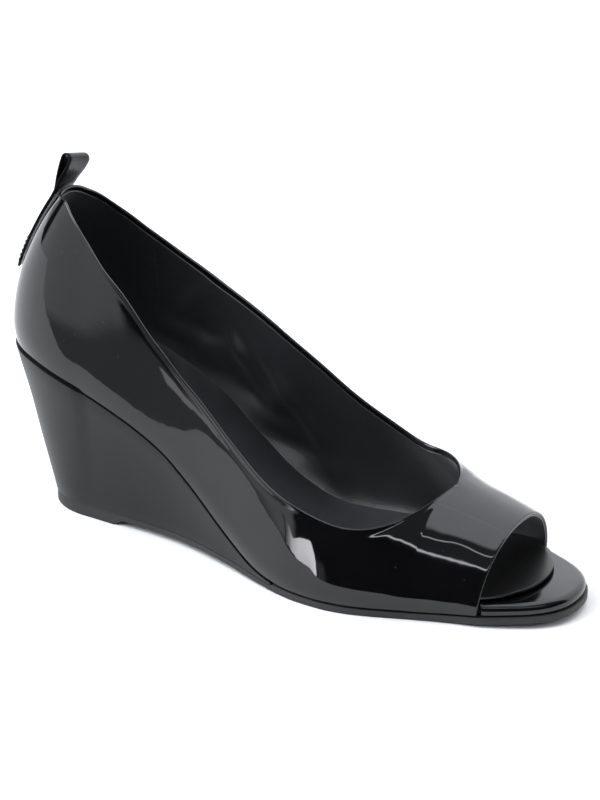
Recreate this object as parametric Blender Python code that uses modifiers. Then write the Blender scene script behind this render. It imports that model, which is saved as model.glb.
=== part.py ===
"""Right wedge pump: a peep-toe shell on a covered wedge, with a folded pull loop at the heel."""
import math

import bmesh
import bpy
import numpy as np

# Main sizes
LENGTH = 0.240
BALL_WIDTH = 0.079
HEEL_HEIGHT = 0.062
COLLAR_HEIGHT = 0.124
HEEL_REST_STATION = 0.155

# Fits and sheet thicknesses
FIT = 0.0003
WALL = 0.0016
WALL_FIT = 0.0004
SOCK_THICKNESS = 0.0010
BOARD_THICKNESS = 0.0020
WRAP_THICKNESS = 0.0040
STRAP_THICKNESS = 0.0010
FOLD_SLIT = 0.0002

# Sole and wedge details
TREAD_EDGE = 0.0005
SOLE_BACK_HEIGHT = 0.0050
SOLE_HEEL_INSET = 0.0006
SOLE_INSET_RUN = 0.25
WEDGE_LEDGE = 0.0004
WEDGE_WAISTING = 0.0007
WAISTING_END_STATION = 0.50
WAISTING_END_RUN = 0.15
WEDGE_REST_STATION = 0.556
WEDGE_FRONT_STATION = 0.557
WRAP_START_STATION = 0.78
WRAP_RUN = 0.08
RIM_INSET = 0.0008
RIM_ROUNDING = 0.0012

# Rounded ends of the plan
HEEL_ARC_STATION = 0.174
HEEL_SQUARENESS = 2.15
TOE_ARC_STATION = 0.870
TOE_SQUARENESS = 2.3
TOE_AXIS = 0.0020

# Section of the last
SECTION_POWER = 2.1
RIDGE_OFFSET = 0.0025
TUCK_RISE = 0.0090
THROAT_STATION = 0.7835

# Toe opening and sock front
OPENING_CORNER_STATION = 0.8825
OPENING_TOP_STATION = 0.896
SOCK_ARC_STATION = 0.862
SOCK_TIP_STATION = 0.950
SOCK_SQUARENESS = 2.0
FLARE_START = 0.0007
FLARE_RUN = 0.0018

# Pull loop
LOOP_WIDTH = 0.0130
LOOP_DROP = 0.0340
LOOP_RISE = 0.0130
LOOP_SHIFT = 0.0010
LOOP_TILT = math.radians(17.0)
LOOP_TILT_DROP = 0.0040
LOOP_LEAN = 0.0038
LOOP_CURL = 0.15
LOOP_FLATTENING = 0.6
EYE_LENGTH = 0.0110
EYE_OPENING = 0.0024
EYE_EASE = 0.0040

# Counts of lines and rows
UPPER_ROWS = 13
LINE_SAMPLES = 90
VAMP_LINES = 7
TOPLINE_LINES = 24
HEEL_LINES = 12
TOE_LINES = 8
PLATE_LINES = 26
WEDGE_ROWS = 5
FLARE_LINES = 4
LOOP_LEG_LINES = 9
LOOP_FREE_LINES = 6
LOOP_ROLL_STEP = 30
LOOP_COLUMNS = 5
STATION_SPACING = 0.0025
TOE_LINE_SPACING = math.radians(3.0)

# Care taken while building
SETTLING_ROUNDS = 6
SLOPE_STEP = 0.0005
WELD_DISTANCE = 0.00002
SLIVER_LENGTH = 0.00001
SMOOTH_ANGLE = math.radians(40.0)

# Plan of the seam line: station as a share of length, lateral and medial as shares of ball width
PLAN = (
    (0.174, 0.342, 0.337),
    (0.224, 0.349, 0.342),
    (0.274, 0.352, 0.337),
    (0.332, 0.357, 0.322),
    (0.391, 0.373, 0.314),
    (0.432, 0.396, 0.320),
    (0.470, 0.423, 0.337),
    (0.520, 0.468, 0.367),
    (0.570, 0.509, 0.400),
    (0.612, 0.530, 0.428),
    (0.649, 0.534, 0.448),
    (0.682, 0.522, 0.461),
    (0.716, 0.494, 0.466),
    (0.749, 0.456, 0.462),
    (0.783, 0.416, 0.449),
    (0.841, 0.357, 0.418),
    (0.887, 0.322, 0.386),
    (0.924, 0.285, 0.352),
    (0.958, 0.266, 0.334),
    (1.000, 0.253, 0.320),
)

# Bulge of the last outside its seam line: station, bulge in metres
BULGE = (
    (0.174, 0.0010),
    (0.350, 0.0008),
    (0.550, 0.0014),
    (0.680, 0.0016),
    (0.800, 0.0010),
    (0.900, 0.0003),
)

# Seam line height: station, share of heel height
SEAM = (
    (-0.001, 1.005),
    (0.070, 0.984),
    (0.137, 0.929),
    (0.187, 0.874),
    (0.232, 0.813),
    (0.282, 0.731),
    (0.337, 0.613),
    (0.372, 0.506),
    (0.409, 0.387),
    (0.447, 0.266),
    (0.485, 0.165),
    (0.520, 0.094),
    (0.557, 0.060),
    (0.599, 0.048),
    (0.641, 0.047),
    (0.787, 0.047),
    (0.841, 0.056),
    (0.887, 0.069),
    (0.953, 0.082),
    (1.000, 0.095),
)

# Ridge of the last, closed over the opening: station, share of collar height
RIDGE = (
    (0.174, 1.090),
    (0.218, 1.145),
    (0.266, 1.205),
    (0.316, 1.195),
    (0.370, 1.105),
    (0.432, 0.985),
    (0.495, 0.863),
    (0.557, 0.726),
    (0.620, 0.593),
    (0.674, 0.482),
    (0.712, 0.413),
    (0.733, 0.380),
    (0.758, 0.349),
    (0.783, 0.323),
    (0.849, 0.286),
    (0.895, 0.261),
)

# Topline of the quarters: station, share of collar height
TOPLINE_LATERAL = (
    (0.088, 1.000),
    (0.115, 1.000),
    (0.140, 0.973),
    (0.164, 0.936),
    (0.218, 0.847),
    (0.280, 0.749),
    (0.326, 0.657),
    (0.367, 0.581),
    (0.417, 0.505),
    (0.471, 0.422),
    (0.517, 0.364),
    (0.568, 0.318),
    (0.626, 0.286),
)
TOPLINE_MEDIAL = (
    (0.088, 1.000),
    (0.095, 0.983),
    (0.107, 0.951),
    (0.125, 0.912),
    (0.148, 0.880),
    (0.205, 0.810),
    (0.268, 0.748),
    (0.321, 0.704),
    (0.377, 0.658),
    (0.428, 0.601),
    (0.479, 0.534),
    (0.512, 0.486),
    (0.546, 0.435),
    (0.602, 0.367),
)

# Topline round the throat: station, side distance as a share of ball width
THROAT_LATERAL = (
    (0.674, 0.471),
    (0.701, 0.435),
    (0.732, 0.360),
    (0.756, 0.269),
    (0.774, 0.153),
)
THROAT_MEDIAL = (
    (0.657, 0.399),
    (0.700, 0.368),
    (0.733, 0.293),
    (0.757, 0.207),
    (0.773, 0.127),
)

# Back of the heel: share of collar height, station
BACK = (
    (0.040, 0.075),
    (0.210, 0.048),
    (0.352, 0.029),
    (0.500, 0.006),
    (0.565, 0.000),
    (0.629, 0.003),
    (0.734, 0.015),
    (0.806, 0.030),
    (0.871, 0.047),
    (0.935, 0.066),
    (1.000, 0.088),
)

# Underside of the sole: station, tread height, top height, both in metres
SOLE = (
    (0.070, 0.0000, 0.0050),
    (0.226, 0.0000, 0.0050),
    (0.243, 0.0025, 0.0049),
    (0.266, 0.0025, 0.0048),
    (0.432, 0.0024, 0.0046),
    (0.470, 0.0020, 0.0042),
    (0.520, 0.0011, 0.0031),
    (WEDGE_REST_STATION, 0.0005, 0.0022),
    (0.559, 0.0004, 0.0030),
    (0.591, 0.0000, 0.0027),
    (0.641, 0.0000, 0.0026),
    (0.749, 0.0000, 0.0026),
    (0.787, 0.0001, 0.0026),
    (0.841, 0.0006, 0.0032),
    (0.887, 0.0013, 0.0040),
    (0.953, 0.0022, 0.0048),
    (1.000, 0.0030, 0.0056),
)

# How far the tread outline lies inside the seam line: station, inset in metres
TREAD_INSET = (
    (0.174, 0.0042),
    (0.270, 0.0041),
    (0.340, 0.0034),
    (0.391, 0.0020),
    (0.450, 0.0006),
    (0.520, 0.0000),
    (1.000, 0.0000),
)

LATERAL = -1.0
MEDIAL = 1.0


def slopes(xs, ys):
    """End slopes of a smooth curve through the rows that never overshoots them."""
    h = np.diff(xs)
    d = np.diff(ys) / h
    m = np.zeros(len(xs))
    m[0] = d[0]
    m[-1] = d[-1]
    for i in range(1, len(xs) - 1):
        if d[i - 1] * d[i] > 0.0:
            a = 2.0 * h[i] + h[i - 1]
            b = h[i] + 2.0 * h[i - 1]
            m[i] = (a + b) / (a / d[i - 1] + b / d[i])
    return m


def curve(table, x, column=1):
    """Value of a table's column at x, smooth between its rows and constant outside them."""
    rows = np.asarray(table, dtype=float)
    xs = rows[:, 0]
    ys = rows[:, column]
    m = slopes(xs, ys)
    x = float(np.clip(x, xs[0], xs[-1]))
    i = int(np.clip(np.searchsorted(xs, x, side="right") - 1, 0, len(xs) - 2))
    h = xs[i + 1] - xs[i]
    t = (x - xs[i]) / h
    return float(
        ys[i] * (1.0 + 2.0 * t) * (1.0 - t) ** 2
        + m[i] * h * t * (1.0 - t) ** 2
        + ys[i + 1] * t * t * (3.0 - 2.0 * t)
        + m[i + 1] * h * t * t * (t - 1.0)
    )


def straight(table, x, column=1):
    """Value of a table's column at x, straight between its rows."""
    rows = np.asarray(table, dtype=float)
    return float(np.interp(x, rows[:, 0], rows[:, column]))


def smooth_step(x, start, run):
    """Rises from 0 to 1 over the run."""
    t = min(max((x - start) / run, 0.0), 1.0)
    return t * t * (3.0 - 2.0 * t)


def seam_height(x):
    """Height of the seam line at a distance from the heel's back."""
    return HEEL_HEIGHT * curve(SEAM, x / LENGTH)


def ridge_height(x):
    """Height of the last's ridge."""
    return COLLAR_HEIGHT * curve(RIDGE, x / LENGTH)


def seam_width(side, x):
    """Distance of the seam line from the middle plane, without the rounding of its ends."""
    return BALL_WIDTH * curve(PLAN, x / LENGTH, 1 if side == LATERAL else 2)


def heel_back(z):
    """Distance of the heel's rearmost point at a height."""
    return LENGTH * curve(BACK, z / COLLAR_HEIGHT)


def arc(angle, squareness):
    """Along and across shares of a rounded end, at an angle from 0 at its side to 90 degrees at its tip."""
    along = math.sin(angle) ** (2.0 / squareness)
    across = max(math.cos(angle), 0.0) ** (2.0 / squareness) if angle < math.radians(89.9) else 0.0
    return along, across


HEEL_ARC_X = HEEL_ARC_STATION * LENGTH
TOE_ARC_X = TOE_ARC_STATION * LENGTH
HEEL_ANGLES = [math.radians(90.0) * k / HEEL_LINES for k in range(1, HEEL_LINES + 1)]
TOE_ANGLES = [math.radians(90.0) * k / TOE_LINES for k in range(1, TOE_LINES + 1)]


def plain_stations():
    """Stations that every plate shares between the heel's arc and the toe's arc, with each row of the sole."""
    rows = [row[0] * LENGTH for row in SOLE if HEEL_ARC_X < row[0] * LENGTH < TOE_ARC_X]
    spread = np.linspace(HEEL_ARC_X, TOE_ARC_X, PLATE_LINES)
    kept = [float(x) for x in spread if min(abs(x - row) for row in rows) > STATION_SPACING]
    return sorted(kept + rows)


def heel_point(side, angle, z, width, inset=0.0):
    """Point on the rounded heel at a height."""
    along, across = arc(angle, HEEL_SQUARENESS)
    x = HEEL_ARC_X - (HEEL_ARC_X - heel_back(z) - inset) * along
    return (x, side * (width - inset) * across, z)


def toe_point(side, angle, z, width, inset=0.0):
    """Point on the rounded toe at a height; width is measured from the middle plane."""
    along, across = arc(angle, TOE_SQUARENESS)
    x = TOE_ARC_X + (LENGTH - TOE_ARC_X - inset) * along
    return (x, TOE_AXIS + side * (width - side * TOE_AXIS - inset) * across, z)


def reach(side, x):
    """Distance from the ridge to the widest line of the last."""
    return seam_width(side, x) + curve(BULGE, x / LENGTH) - side * RIDGE_OFFSET


def section(side, x, turn, z_seam):
    """Side distance and height on the last's section, at a turn from 0 at the seam to 90 degrees on the ridge."""
    share = math.sin(turn) ** (2.0 / SECTION_POWER)
    narrowing = max(math.cos(turn), 0.0) ** (2.0 / SECTION_POWER) if turn < math.radians(89.99) else 0.0
    rise = (ridge_height(x) - z_seam) * share
    tuck = curve(BULGE, x / LENGTH) * max(1.0 - rise / TUCK_RISE, 0.0) ** 2
    return reach(side, x) * narrowing + side * RIDGE_OFFSET - tuck, z_seam + rise


def turn_at_height(x, z, z_seam):
    """Turn at which the section reaches a height."""
    share = min(max((z - z_seam) / (ridge_height(x) - z_seam), 0.0), 1.0)
    return math.asin(share ** (SECTION_POWER / 2.0))


def turn_at_distance(side, x, distance):
    """Turn at which the section comes to a distance from the middle plane."""
    share = min(max((distance - side * RIDGE_OFFSET) / reach(side, x), 0.0), 1.0)
    return math.acos(share ** (SECTION_POWER / 2.0))


def wall_distance(side, x, z, z_seam, inset=0.0):
    """Side distance of the last at a height, moved in by an inset measured square to the wall."""
    turn = turn_at_height(x, z, z_seam)
    here, _ = section(side, x, turn, z_seam)
    above, _ = section(side, x, turn_at_height(x, z + SLOPE_STEP, z_seam), z_seam)
    ahead, _ = section(side, x + SLOPE_STEP, turn_at_height(x + SLOPE_STEP, z, z_seam), z_seam)
    lean = math.hypot((above - here) / SLOPE_STEP, (ahead - here) / SLOPE_STEP)
    return here - inset * math.hypot(1.0, lean)


def even_rows(points, count):
    """The same line with a number of points spread evenly along it."""
    line = np.asarray(points, dtype=float)
    run = np.concatenate([[0.0], np.cumsum(np.linalg.norm(np.diff(line, axis=0), axis=1))])
    at = np.linspace(0.0, run[-1], count)
    return np.stack([np.interp(at, run, line[:, k]) for k in range(3)], axis=1)


def upper_line(place, top_turn):
    """Points from the seam up to a turn; place gives the point at each turn."""
    line = [place(top_turn * k / LINE_SAMPLES) for k in range(LINE_SAMPLES + 1)]
    return even_rows(line, UPPER_ROWS)


def quarter_line(side, x, top_turn):
    """One line of the upper in a plane across the shoe."""
    z_seam = seam_height(x) + FIT

    def place(turn):
        y, z = section(side, x, turn, z_seam)
        return (x, side * y, z)

    return upper_line(place, top_turn)


def vamp_line(side, share):
    """One line of the vamp, between the throat at share 0 and the toe opening at share 1."""
    throat = THROAT_STATION * LENGTH
    corner = OPENING_CORNER_STATION * LENGTH
    top = OPENING_TOP_STATION * LENGTH

    def place(turn):
        x = throat + (corner + (top - corner) * math.sin(turn) - throat) * share
        y, z = section(side, x, turn, seam_height(x) + FIT)
        return (x, side * y, z)

    return upper_line(place, math.radians(90.0))


def heel_line(side, angle, table):
    """One line of the rounded heel, from the seam to the topline."""
    x = HEEL_ARC_X
    z_seam = seam_height(x)
    z_top = COLLAR_HEIGHT * curve(table, x / LENGTH)
    for _ in range(SETTLING_ROUNDS):
        z_seam = seam_height(heel_point(side, angle, z_seam, 0.0)[0]) + FIT
        z_top = COLLAR_HEIGHT * curve(table, heel_point(side, angle, z_top, 0.0)[0] / LENGTH)

    def place(turn):
        y, z = section(side, HEEL_ARC_X, turn, z_seam)
        return heel_point(side, angle, z, y)

    return upper_line(place, turn_at_height(HEEL_ARC_X, z_top, z_seam))


def topline(side, quarter, throat):
    """Stations and turns along the topline, from the heel's arc to the throat's middle."""
    rows = []
    for station, share in quarter:
        if station > HEEL_ARC_STATION:
            x = station * LENGTH
            rows.append((x, turn_at_height(x, COLLAR_HEIGHT * share, seam_height(x) + FIT)))
    x = HEEL_ARC_X
    z_first = COLLAR_HEIGHT * curve(quarter, HEEL_ARC_STATION)
    rows.insert(0, (x, turn_at_height(x, z_first, seam_height(x) + FIT)))
    for station, share in throat:
        x = station * LENGTH
        rows.append((x, turn_at_distance(side, x, BALL_WIDTH * share)))
    rows.append((THROAT_STATION * LENGTH, math.radians(90.0)))
    places = []
    for x, turn in rows:
        y, z = section(side, x, turn, seam_height(x) + FIT)
        places.append((x, side * y, z))
    steps = np.linalg.norm(np.diff(np.asarray(places), axis=0), axis=1)
    run = np.concatenate([[0.0], np.cumsum(steps)])
    # One row past the middle makes the topline cross the ridge square to it
    mirrored = (run[-1] + steps[-1], rows[-2][0], math.radians(180.0) - rows[-2][1])
    table = [(run[i], rows[i][0], rows[i][1]) for i in range(len(rows))] + [mirrored]
    points = []
    for at in np.linspace(0.0, run[-1], TOPLINE_LINES):
        points.append((curve(table, at, 1), min(curve(table, at, 2), math.radians(90.0))))
    return points


def half_upper(side, quarter, throat):
    """Lines of one side of the upper, from the toe opening round to the heel's back."""
    lines = [vamp_line(side, k / VAMP_LINES) for k in range(VAMP_LINES, 0, -1)]
    for x, turn in reversed(topline(side, quarter, throat)):
        lines.append(quarter_line(side, x, turn))
    lines.extend(heel_line(side, angle, quarter) for angle in HEEL_ANGLES)
    return lines


def plate_stations(front):
    """Places along a plate: heel arc angles, plain stations, then toe arc angles when it has a toe."""
    places = [("heel", angle) for angle in reversed(HEEL_ANGLES)]
    places.extend(("plain", x) for x in plain_stations() if front is None or x < front - STATION_SPACING / 2.0)
    if front is not None:
        places.append(("plain", front))
    else:
        places.extend(("toe", angle) for angle in TOE_ANGLES)
    return places


def tread_width(side, x):
    """Distance of the tread's outline from the middle plane."""
    return seam_width(side, x) - curve(TREAD_INSET, x / LENGTH)


def outsole_rings():
    """Cross rings of the outsole from heel to toe."""
    rings = []
    for kind, value in plate_stations(None):
        ring = []
        for side, order in ((LATERAL, 1), (MEDIAL, -1)):
            levels = []
            for level, inset in ((0, TREAD_EDGE), (1, 0.0), (2, 0.0)):
                levels.append(outsole_point(side, kind, value, level, inset))
            ring.extend(levels[::order])
        rings.append(ring)
    return rings


def outsole_point(side, kind, value, level, inset):
    """Point on the outsole's edge: level 0 on the tread, 1 above its edge, 2 on top."""
    if kind == "heel":
        z = straight(SOLE, HEEL_ARC_STATION, 2) if level == 2 else level * TREAD_EDGE
        width = tread_width(side, HEEL_ARC_X)
        x, y, _ = heel_point(side, value, SOLE_BACK_HEIGHT, width, inset + SOLE_HEEL_INSET)
        return (x, y, z)
    x = value
    if kind == "toe":
        along, _ = arc(value, TOE_SQUARENESS)
        x = TOE_ARC_X + (LENGTH - TOE_ARC_X) * along
    station = x / LENGTH
    tread = straight(SOLE, station, 1)
    z = straight(SOLE, station, 2) if level == 2 else tread + level * TREAD_EDGE
    width = tread_width(side, x)
    if kind == "toe":
        return toe_point(side, value, z, width, inset)
    narrow = SOLE_HEEL_INSET * (1.0 - smooth_step(station, HEEL_ARC_STATION, SOLE_INSET_RUN))
    return (x, side * (width - inset - narrow), z)


def wedge_rings():
    """Cross rings of the wedge from the heel's back to its thin front edge."""
    rings = []
    front = WEDGE_FRONT_STATION * LENGTH
    for kind, value in plate_stations(front):
        ring = []
        for side, order in ((LATERAL, 1), (MEDIAL, -1)):
            line = [wedge_point(side, kind, value, k / (WEDGE_ROWS - 1)) for k in range(WEDGE_ROWS)]
            ring.extend(line[::order])
        rings.append(ring)
    return rings


def wedge_point(side, kind, value, share):
    """Point on the wedge's side, from its bottom edge at share 0 to its top edge at share 1."""
    x = HEEL_ARC_X if kind == "heel" else value
    narrow = tread_width(side, x)
    wide = seam_width(side, x) + WEDGE_LEDGE
    fading = smooth_step(x / LENGTH, WAISTING_END_STATION - WAISTING_END_RUN, WAISTING_END_RUN)
    waisting = WEDGE_WAISTING * (1.0 - fading)
    width = narrow + (wide - narrow) * share - waisting * 4.0 * share * (1.0 - share)
    bottom = straight(SOLE, min(x / LENGTH, WEDGE_REST_STATION), 2) + FIT
    if kind == "heel":
        top = seam_height(x)
        for _ in range(SETTLING_ROUNDS):
            top = seam_height(heel_point(side, value, top, 0.0, -WEDGE_LEDGE)[0])
        z = bottom + (top - bottom) * share
        return heel_point(side, value, z, width + WEDGE_LEDGE, WEDGE_LEDGE * (1.0 - 2.0 * share))
    return (x, side * width, bottom + (seam_height(x) - bottom) * share)


def board_thickness(x):
    """Thickness of the insole: thin board, thicker where its toe is wrapped."""
    wrapped = smooth_step(x / LENGTH, WRAP_START_STATION, WRAP_RUN)
    return BOARD_THICKNESS + (WRAP_THICKNESS - BOARD_THICKNESS) * wrapped


def bottom_bed(x):
    """Underside of the insole."""
    return seam_height(x) + FIT


def inside_width(side, x, lift):
    """Room inside the upper at a height above the insole's underside."""
    z_seam = seam_height(x) + FIT
    return wall_distance(side, x, z_seam + lift, z_seam, WALL + WALL_FIT)


def insole_point(side, kind, value, level):
    """Point on the insole's edge: level 0 below, 1 and 2 round its top edge."""
    if kind == "heel":
        x = HEEL_ARC_X
        for _ in range(SETTLING_ROUNDS):
            x = heel_point(side, value, seam_height(x), 0.0)[0]
        z = bottom_bed(x) + (0.0 if level == 0 else board_thickness(x))
        room = inside_width(side, HEEL_ARC_X, z - bottom_bed(x))
        inset = WALL + WALL_FIT
        px, py, _ = heel_point(side, value, z, room + inset, inset)
        z = bottom_bed(px) + (0.0 if level == 0 else board_thickness(px))
        return (px, py, z)
    x = value
    if kind == "toe":
        along, _ = arc(value, TOE_SQUARENESS)
        x = TOE_ARC_X + (LENGTH - TOE_ARC_X - RIM_INSET) * along
    thickness = board_thickness(x)
    corner = OPENING_CORNER_STATION * LENGTH
    flare = smooth_step(x, corner + FLARE_START, FLARE_RUN)
    drop = RIM_ROUNDING * flare if level == 1 else 0.0
    inset = RIM_INSET + (RIM_ROUNDING if level == 2 else 0.0)
    lift = 0.0 if level == 0 else thickness - drop
    z = bottom_bed(x) + lift
    rim = seam_width(side, x) - inset
    if kind == "toe":
        px, py, _ = toe_point(side, value, z, seam_width(side, x), inset)
        if flare >= 1.0:
            return (px, py, z)
        room = inside_width(side, x, lift)
        return (px, side * (room + (side * py - room) * flare), z)
    room = inside_width(side, x, lift)
    return (x, side * (room + (rim - room) * flare), z)


def insole_rings():
    """Cross rings of the insole from the heel to the wrapped toe."""
    rings = []
    for kind, value in insole_stations():
        ring = []
        for side, order in ((LATERAL, 1), (MEDIAL, -1)):
            line = [insole_point(side, kind, value, level) for level in range(3)]
            ring.extend(line[::order])
        rings.append(ring)
    return rings


def insole_stations():
    """Places along the insole, close together where it widens in front of the opening."""
    places = [("heel", angle) for angle in reversed(HEEL_ANGLES)]
    places.extend(("plain", x) for x in plain_stations())
    corner = OPENING_CORNER_STATION * LENGTH + FLARE_START
    spans = [corner - TOE_ARC_X + FLARE_RUN * k / (FLARE_LINES - 1) for k in range(FLARE_LINES)]
    reach_x = LENGTH - TOE_ARC_X - RIM_INSET
    angles = [math.asin((span / reach_x) ** (TOE_SQUARENESS / 2.0)) for span in spans]
    angles.extend(angle for angle in TOE_ANGLES if angle > angles[-1] + TOE_LINE_SPACING)
    places.extend(("toe", angle) for angle in angles)
    return places


def sock_rings():
    """Cross rings of the sock from the heel to its curved front edge."""
    rings = []
    arc_x = SOCK_ARC_STATION * LENGTH
    tip_x = SOCK_TIP_STATION * LENGTH
    places = [("heel", angle) for angle in reversed(HEEL_ANGLES)]
    places.extend(("plain", x) for x in plain_stations() if x < arc_x - STATION_SPACING)
    places.append(("plain", arc_x))
    places.extend(("front", angle) for angle in TOE_ANGLES)
    for kind, value in places:
        ring = []
        for side, order in ((LATERAL, 1), (MEDIAL, -1)):
            line = [sock_point(side, kind, value, level, arc_x, tip_x) for level in range(2)]
            ring.extend(line[::order])
        rings.append(ring)
    return rings


def sock_point(side, kind, value, level, arc_x, tip_x):
    """Point on the sock's edge: level 0 below, 1 on top."""
    step = FIT + level * SOCK_THICKNESS
    if kind == "heel":
        x = HEEL_ARC_X
        for _ in range(SETTLING_ROUNDS):
            x = heel_point(side, value, seam_height(x), 0.0)[0]
        z = bottom_bed(x) + board_thickness(x) + step
        room = inside_width(side, HEEL_ARC_X, z - bottom_bed(x))
        inset = WALL + WALL_FIT
        px, py, _ = heel_point(side, value, z, room + inset, inset)
        return (px, py, bottom_bed(px) + board_thickness(px) + step)
    x = value
    across = 1.0
    if kind == "front":
        along, across = arc(value, SOCK_SQUARENESS)
        x = arc_x + (tip_x - arc_x) * along
    lift = board_thickness(x) + step
    room = inside_width(side, min(x, OPENING_CORNER_STATION * LENGTH), lift)
    return (x, side * room * across + TOE_AXIS * (1.0 - across), bottom_bed(x) + lift)


def loop_path():
    """Middle line of the folded strap seen from the side: up the outer leg, round the eye, down inside."""
    base = FIT + STRAP_THICKNESS / 2.0
    outer = base + STRAP_THICKNESS + FOLD_SLIT
    radius = (outer - base) / 2.0 + EYE_OPENING / 2.0
    centre_z = COLLAR_HEIGHT + LOOP_RISE - STRAP_THICKNESS / 2.0 - radius
    eye_start = COLLAR_HEIGHT + LOOP_RISE - EYE_LENGTH - EYE_EASE
    heights = list(np.linspace(COLLAR_HEIGHT - LOOP_DROP, COLLAR_HEIGHT, LOOP_LEG_LINES))
    heights.extend(np.linspace(COLLAR_HEIGHT, centre_z, LOOP_FREE_LINES)[1:])

    def spread(z):
        return EYE_OPENING / 2.0 * smooth_step(z, eye_start, centre_z - eye_start)

    up = [(loop_back(z) - outer - spread(z), z) for z in heights]
    down = [(loop_back(z) - base + spread(z), z) for z in reversed(heights)]
    centre_x = (up[-1][0] + down[0][0]) / 2.0
    turns = [math.radians(a) for a in range(180 - LOOP_ROLL_STEP, 0, -LOOP_ROLL_STEP)]
    roll = [(centre_x + radius * math.cos(a), centre_z + radius * math.sin(a)) for a in turns]
    return up + roll + down


def loop_back(z):
    """Back of the heel, carried on above the collar with the loop's forward lean."""
    if z <= COLLAR_HEIGHT:
        return heel_back(z)
    rise = (z - COLLAR_HEIGHT) / LOOP_RISE
    return heel_back(COLLAR_HEIGHT) + LOOP_LEAN * rise * (1.0 + LOOP_CURL * (1.0 - rise))


def loop_body():
    """Vertices and faces of the pull loop."""
    path = np.asarray(loop_path())
    tangent = np.gradient(path, axis=0)
    tangent /= np.linalg.norm(tangent, axis=1)[:, None]
    normal = np.stack([-tangent[:, 1], tangent[:, 0]], axis=1)
    columns = LOOP_COLUMNS
    width = seam_width(LATERAL, HEEL_ARC_X)
    verts = []
    for face_offset in (STRAP_THICKNESS / 2.0, -STRAP_THICKNESS / 2.0):
        for x, z in path + normal * face_offset:
            depth = HEEL_ARC_X - heel_back(min(z, COLLAR_HEIGHT))
            free = smooth_step(z, COLLAR_HEIGHT - LOOP_TILT_DROP, LOOP_RISE)
            sway = smooth_step(z, COLLAR_HEIGHT - LOOP_DROP, LOOP_DROP + LOOP_RISE)
            for k in range(columns):
                across = LOOP_WIDTH * (k / (columns - 1) - 0.5)
                share = abs(across + LOOP_SHIFT * sway) / width
                bow = depth * (1.0 - (1.0 - share ** HEEL_SQUARENESS) ** (1.0 / HEEL_SQUARENESS))
                tilt = LOOP_TILT * free
                over = max(z - COLLAR_HEIGHT, 0.0)
                y = across * math.cos(tilt) + over * math.sin(tilt) + LOOP_SHIFT * sway
                z_tilted = z - across * math.sin(tilt)
                verts.append((x + bow * (1.0 - LOOP_FLATTENING * free), y, z_tilted))
    count = len(path)
    faces = []
    for i in range(count - 1):
        for k in range(columns - 1):
            a = i * columns + k
            b = a + columns
            faces.append((a, a + 1, b + 1, b))
            shift = count * columns
            faces.append((a + shift, b + shift, b + 1 + shift, a + 1 + shift))
        for k in (0, columns - 1):
            a = i * columns + k
            b = a + columns
            shift = count * columns
            faces.append((a, b, b + shift, a + shift))
    for i in (0, count - 1):
        for k in range(columns - 1):
            a = i * columns + k
            shift = count * columns
            faces.append((a, a + 1, a + 1 + shift, a + shift))
    return verts, faces


def ring_body(rings):
    """Vertices and faces of a closed body drawn through rings; its ends are flat or come to a line."""
    size = len(rings[0])
    verts = [point for ring in rings for point in ring]
    faces = []
    for i in range(len(rings) - 1):
        for j in range(size):
            a = i * size + j
            b = i * size + (j + 1) % size
            faces.append((a, b, b + size, a + size))
    faces.append(tuple(range(size)))
    last = (len(rings) - 1) * size
    faces.append(tuple(range(last, last + size)))
    return verts, faces


def strip_body(lines):
    """Vertices and faces of an open sheet drawn through lines."""
    size = len(lines[0])
    verts = [tuple(point) for line in lines for point in line]
    faces = []
    for i in range(len(lines) - 1):
        for j in range(size - 1):
            a = i * size + j
            faces.append((a, a + size, a + size + 1, a + 1))
    return verts, faces


def make_material(name, colour, roughness):
    """Plain material."""
    material = bpy.data.materials.new(name)
    material.use_nodes = True
    shader = material.node_tree.nodes["Principled BSDF"]
    shader.inputs["Base Color"].default_value = (*colour, 1.0)
    shader.inputs["Roughness"].default_value = roughness
    return material


def make_object(name, body, material, collection):
    """Object from vertices and faces given from the heel's back, moved to the heel rest's origin."""
    verts, faces = body
    rest = HEEL_REST_STATION * LENGTH
    mesh = bpy.data.meshes.new(name)
    bm = bmesh.new()
    made = [bm.verts.new((x - rest, y, z)) for x, y, z in verts]
    for face in faces:
        bm.faces.new([made[i] for i in face])
    bmesh.ops.remove_doubles(bm, verts=bm.verts, dist=WELD_DISTANCE)
    bmesh.ops.dissolve_degenerate(bm, dist=SLIVER_LENGTH, edges=bm.edges)
    bmesh.ops.recalc_face_normals(bm, faces=bm.faces)
    for face in bm.faces:
        face.smooth = True
    bm.to_mesh(mesh)
    bm.free()
    mesh.set_sharp_from_angle(angle=SMOOTH_ANGLE)
    mesh.materials.append(material)
    built = bpy.data.objects.new(name, mesh)
    collection.objects.link(built)
    return built


def make_upper(collection):
    """Shell of the upper: the last's surface thickened inwards."""
    lateral = half_upper(LATERAL, TOPLINE_LATERAL, THROAT_LATERAL)
    medial = half_upper(MEDIAL, TOPLINE_MEDIAL, THROAT_MEDIAL)
    lines = lateral + list(reversed(medial[:-1]))
    material = make_material("patent", (0.012, 0.012, 0.013), 0.12)
    upper = make_object("upper", strip_body(lines), material, collection)
    heel = min(upper.data.polygons, key=lambda face: face.center.x)
    if heel.normal.x > 0.0:
        upper.data.flip_normals()
    shell = upper.modifiers.new("wall", "SOLIDIFY")
    shell.thickness = WALL
    shell.offset = -1.0
    shell.use_even_offset = True
    return upper


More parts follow.
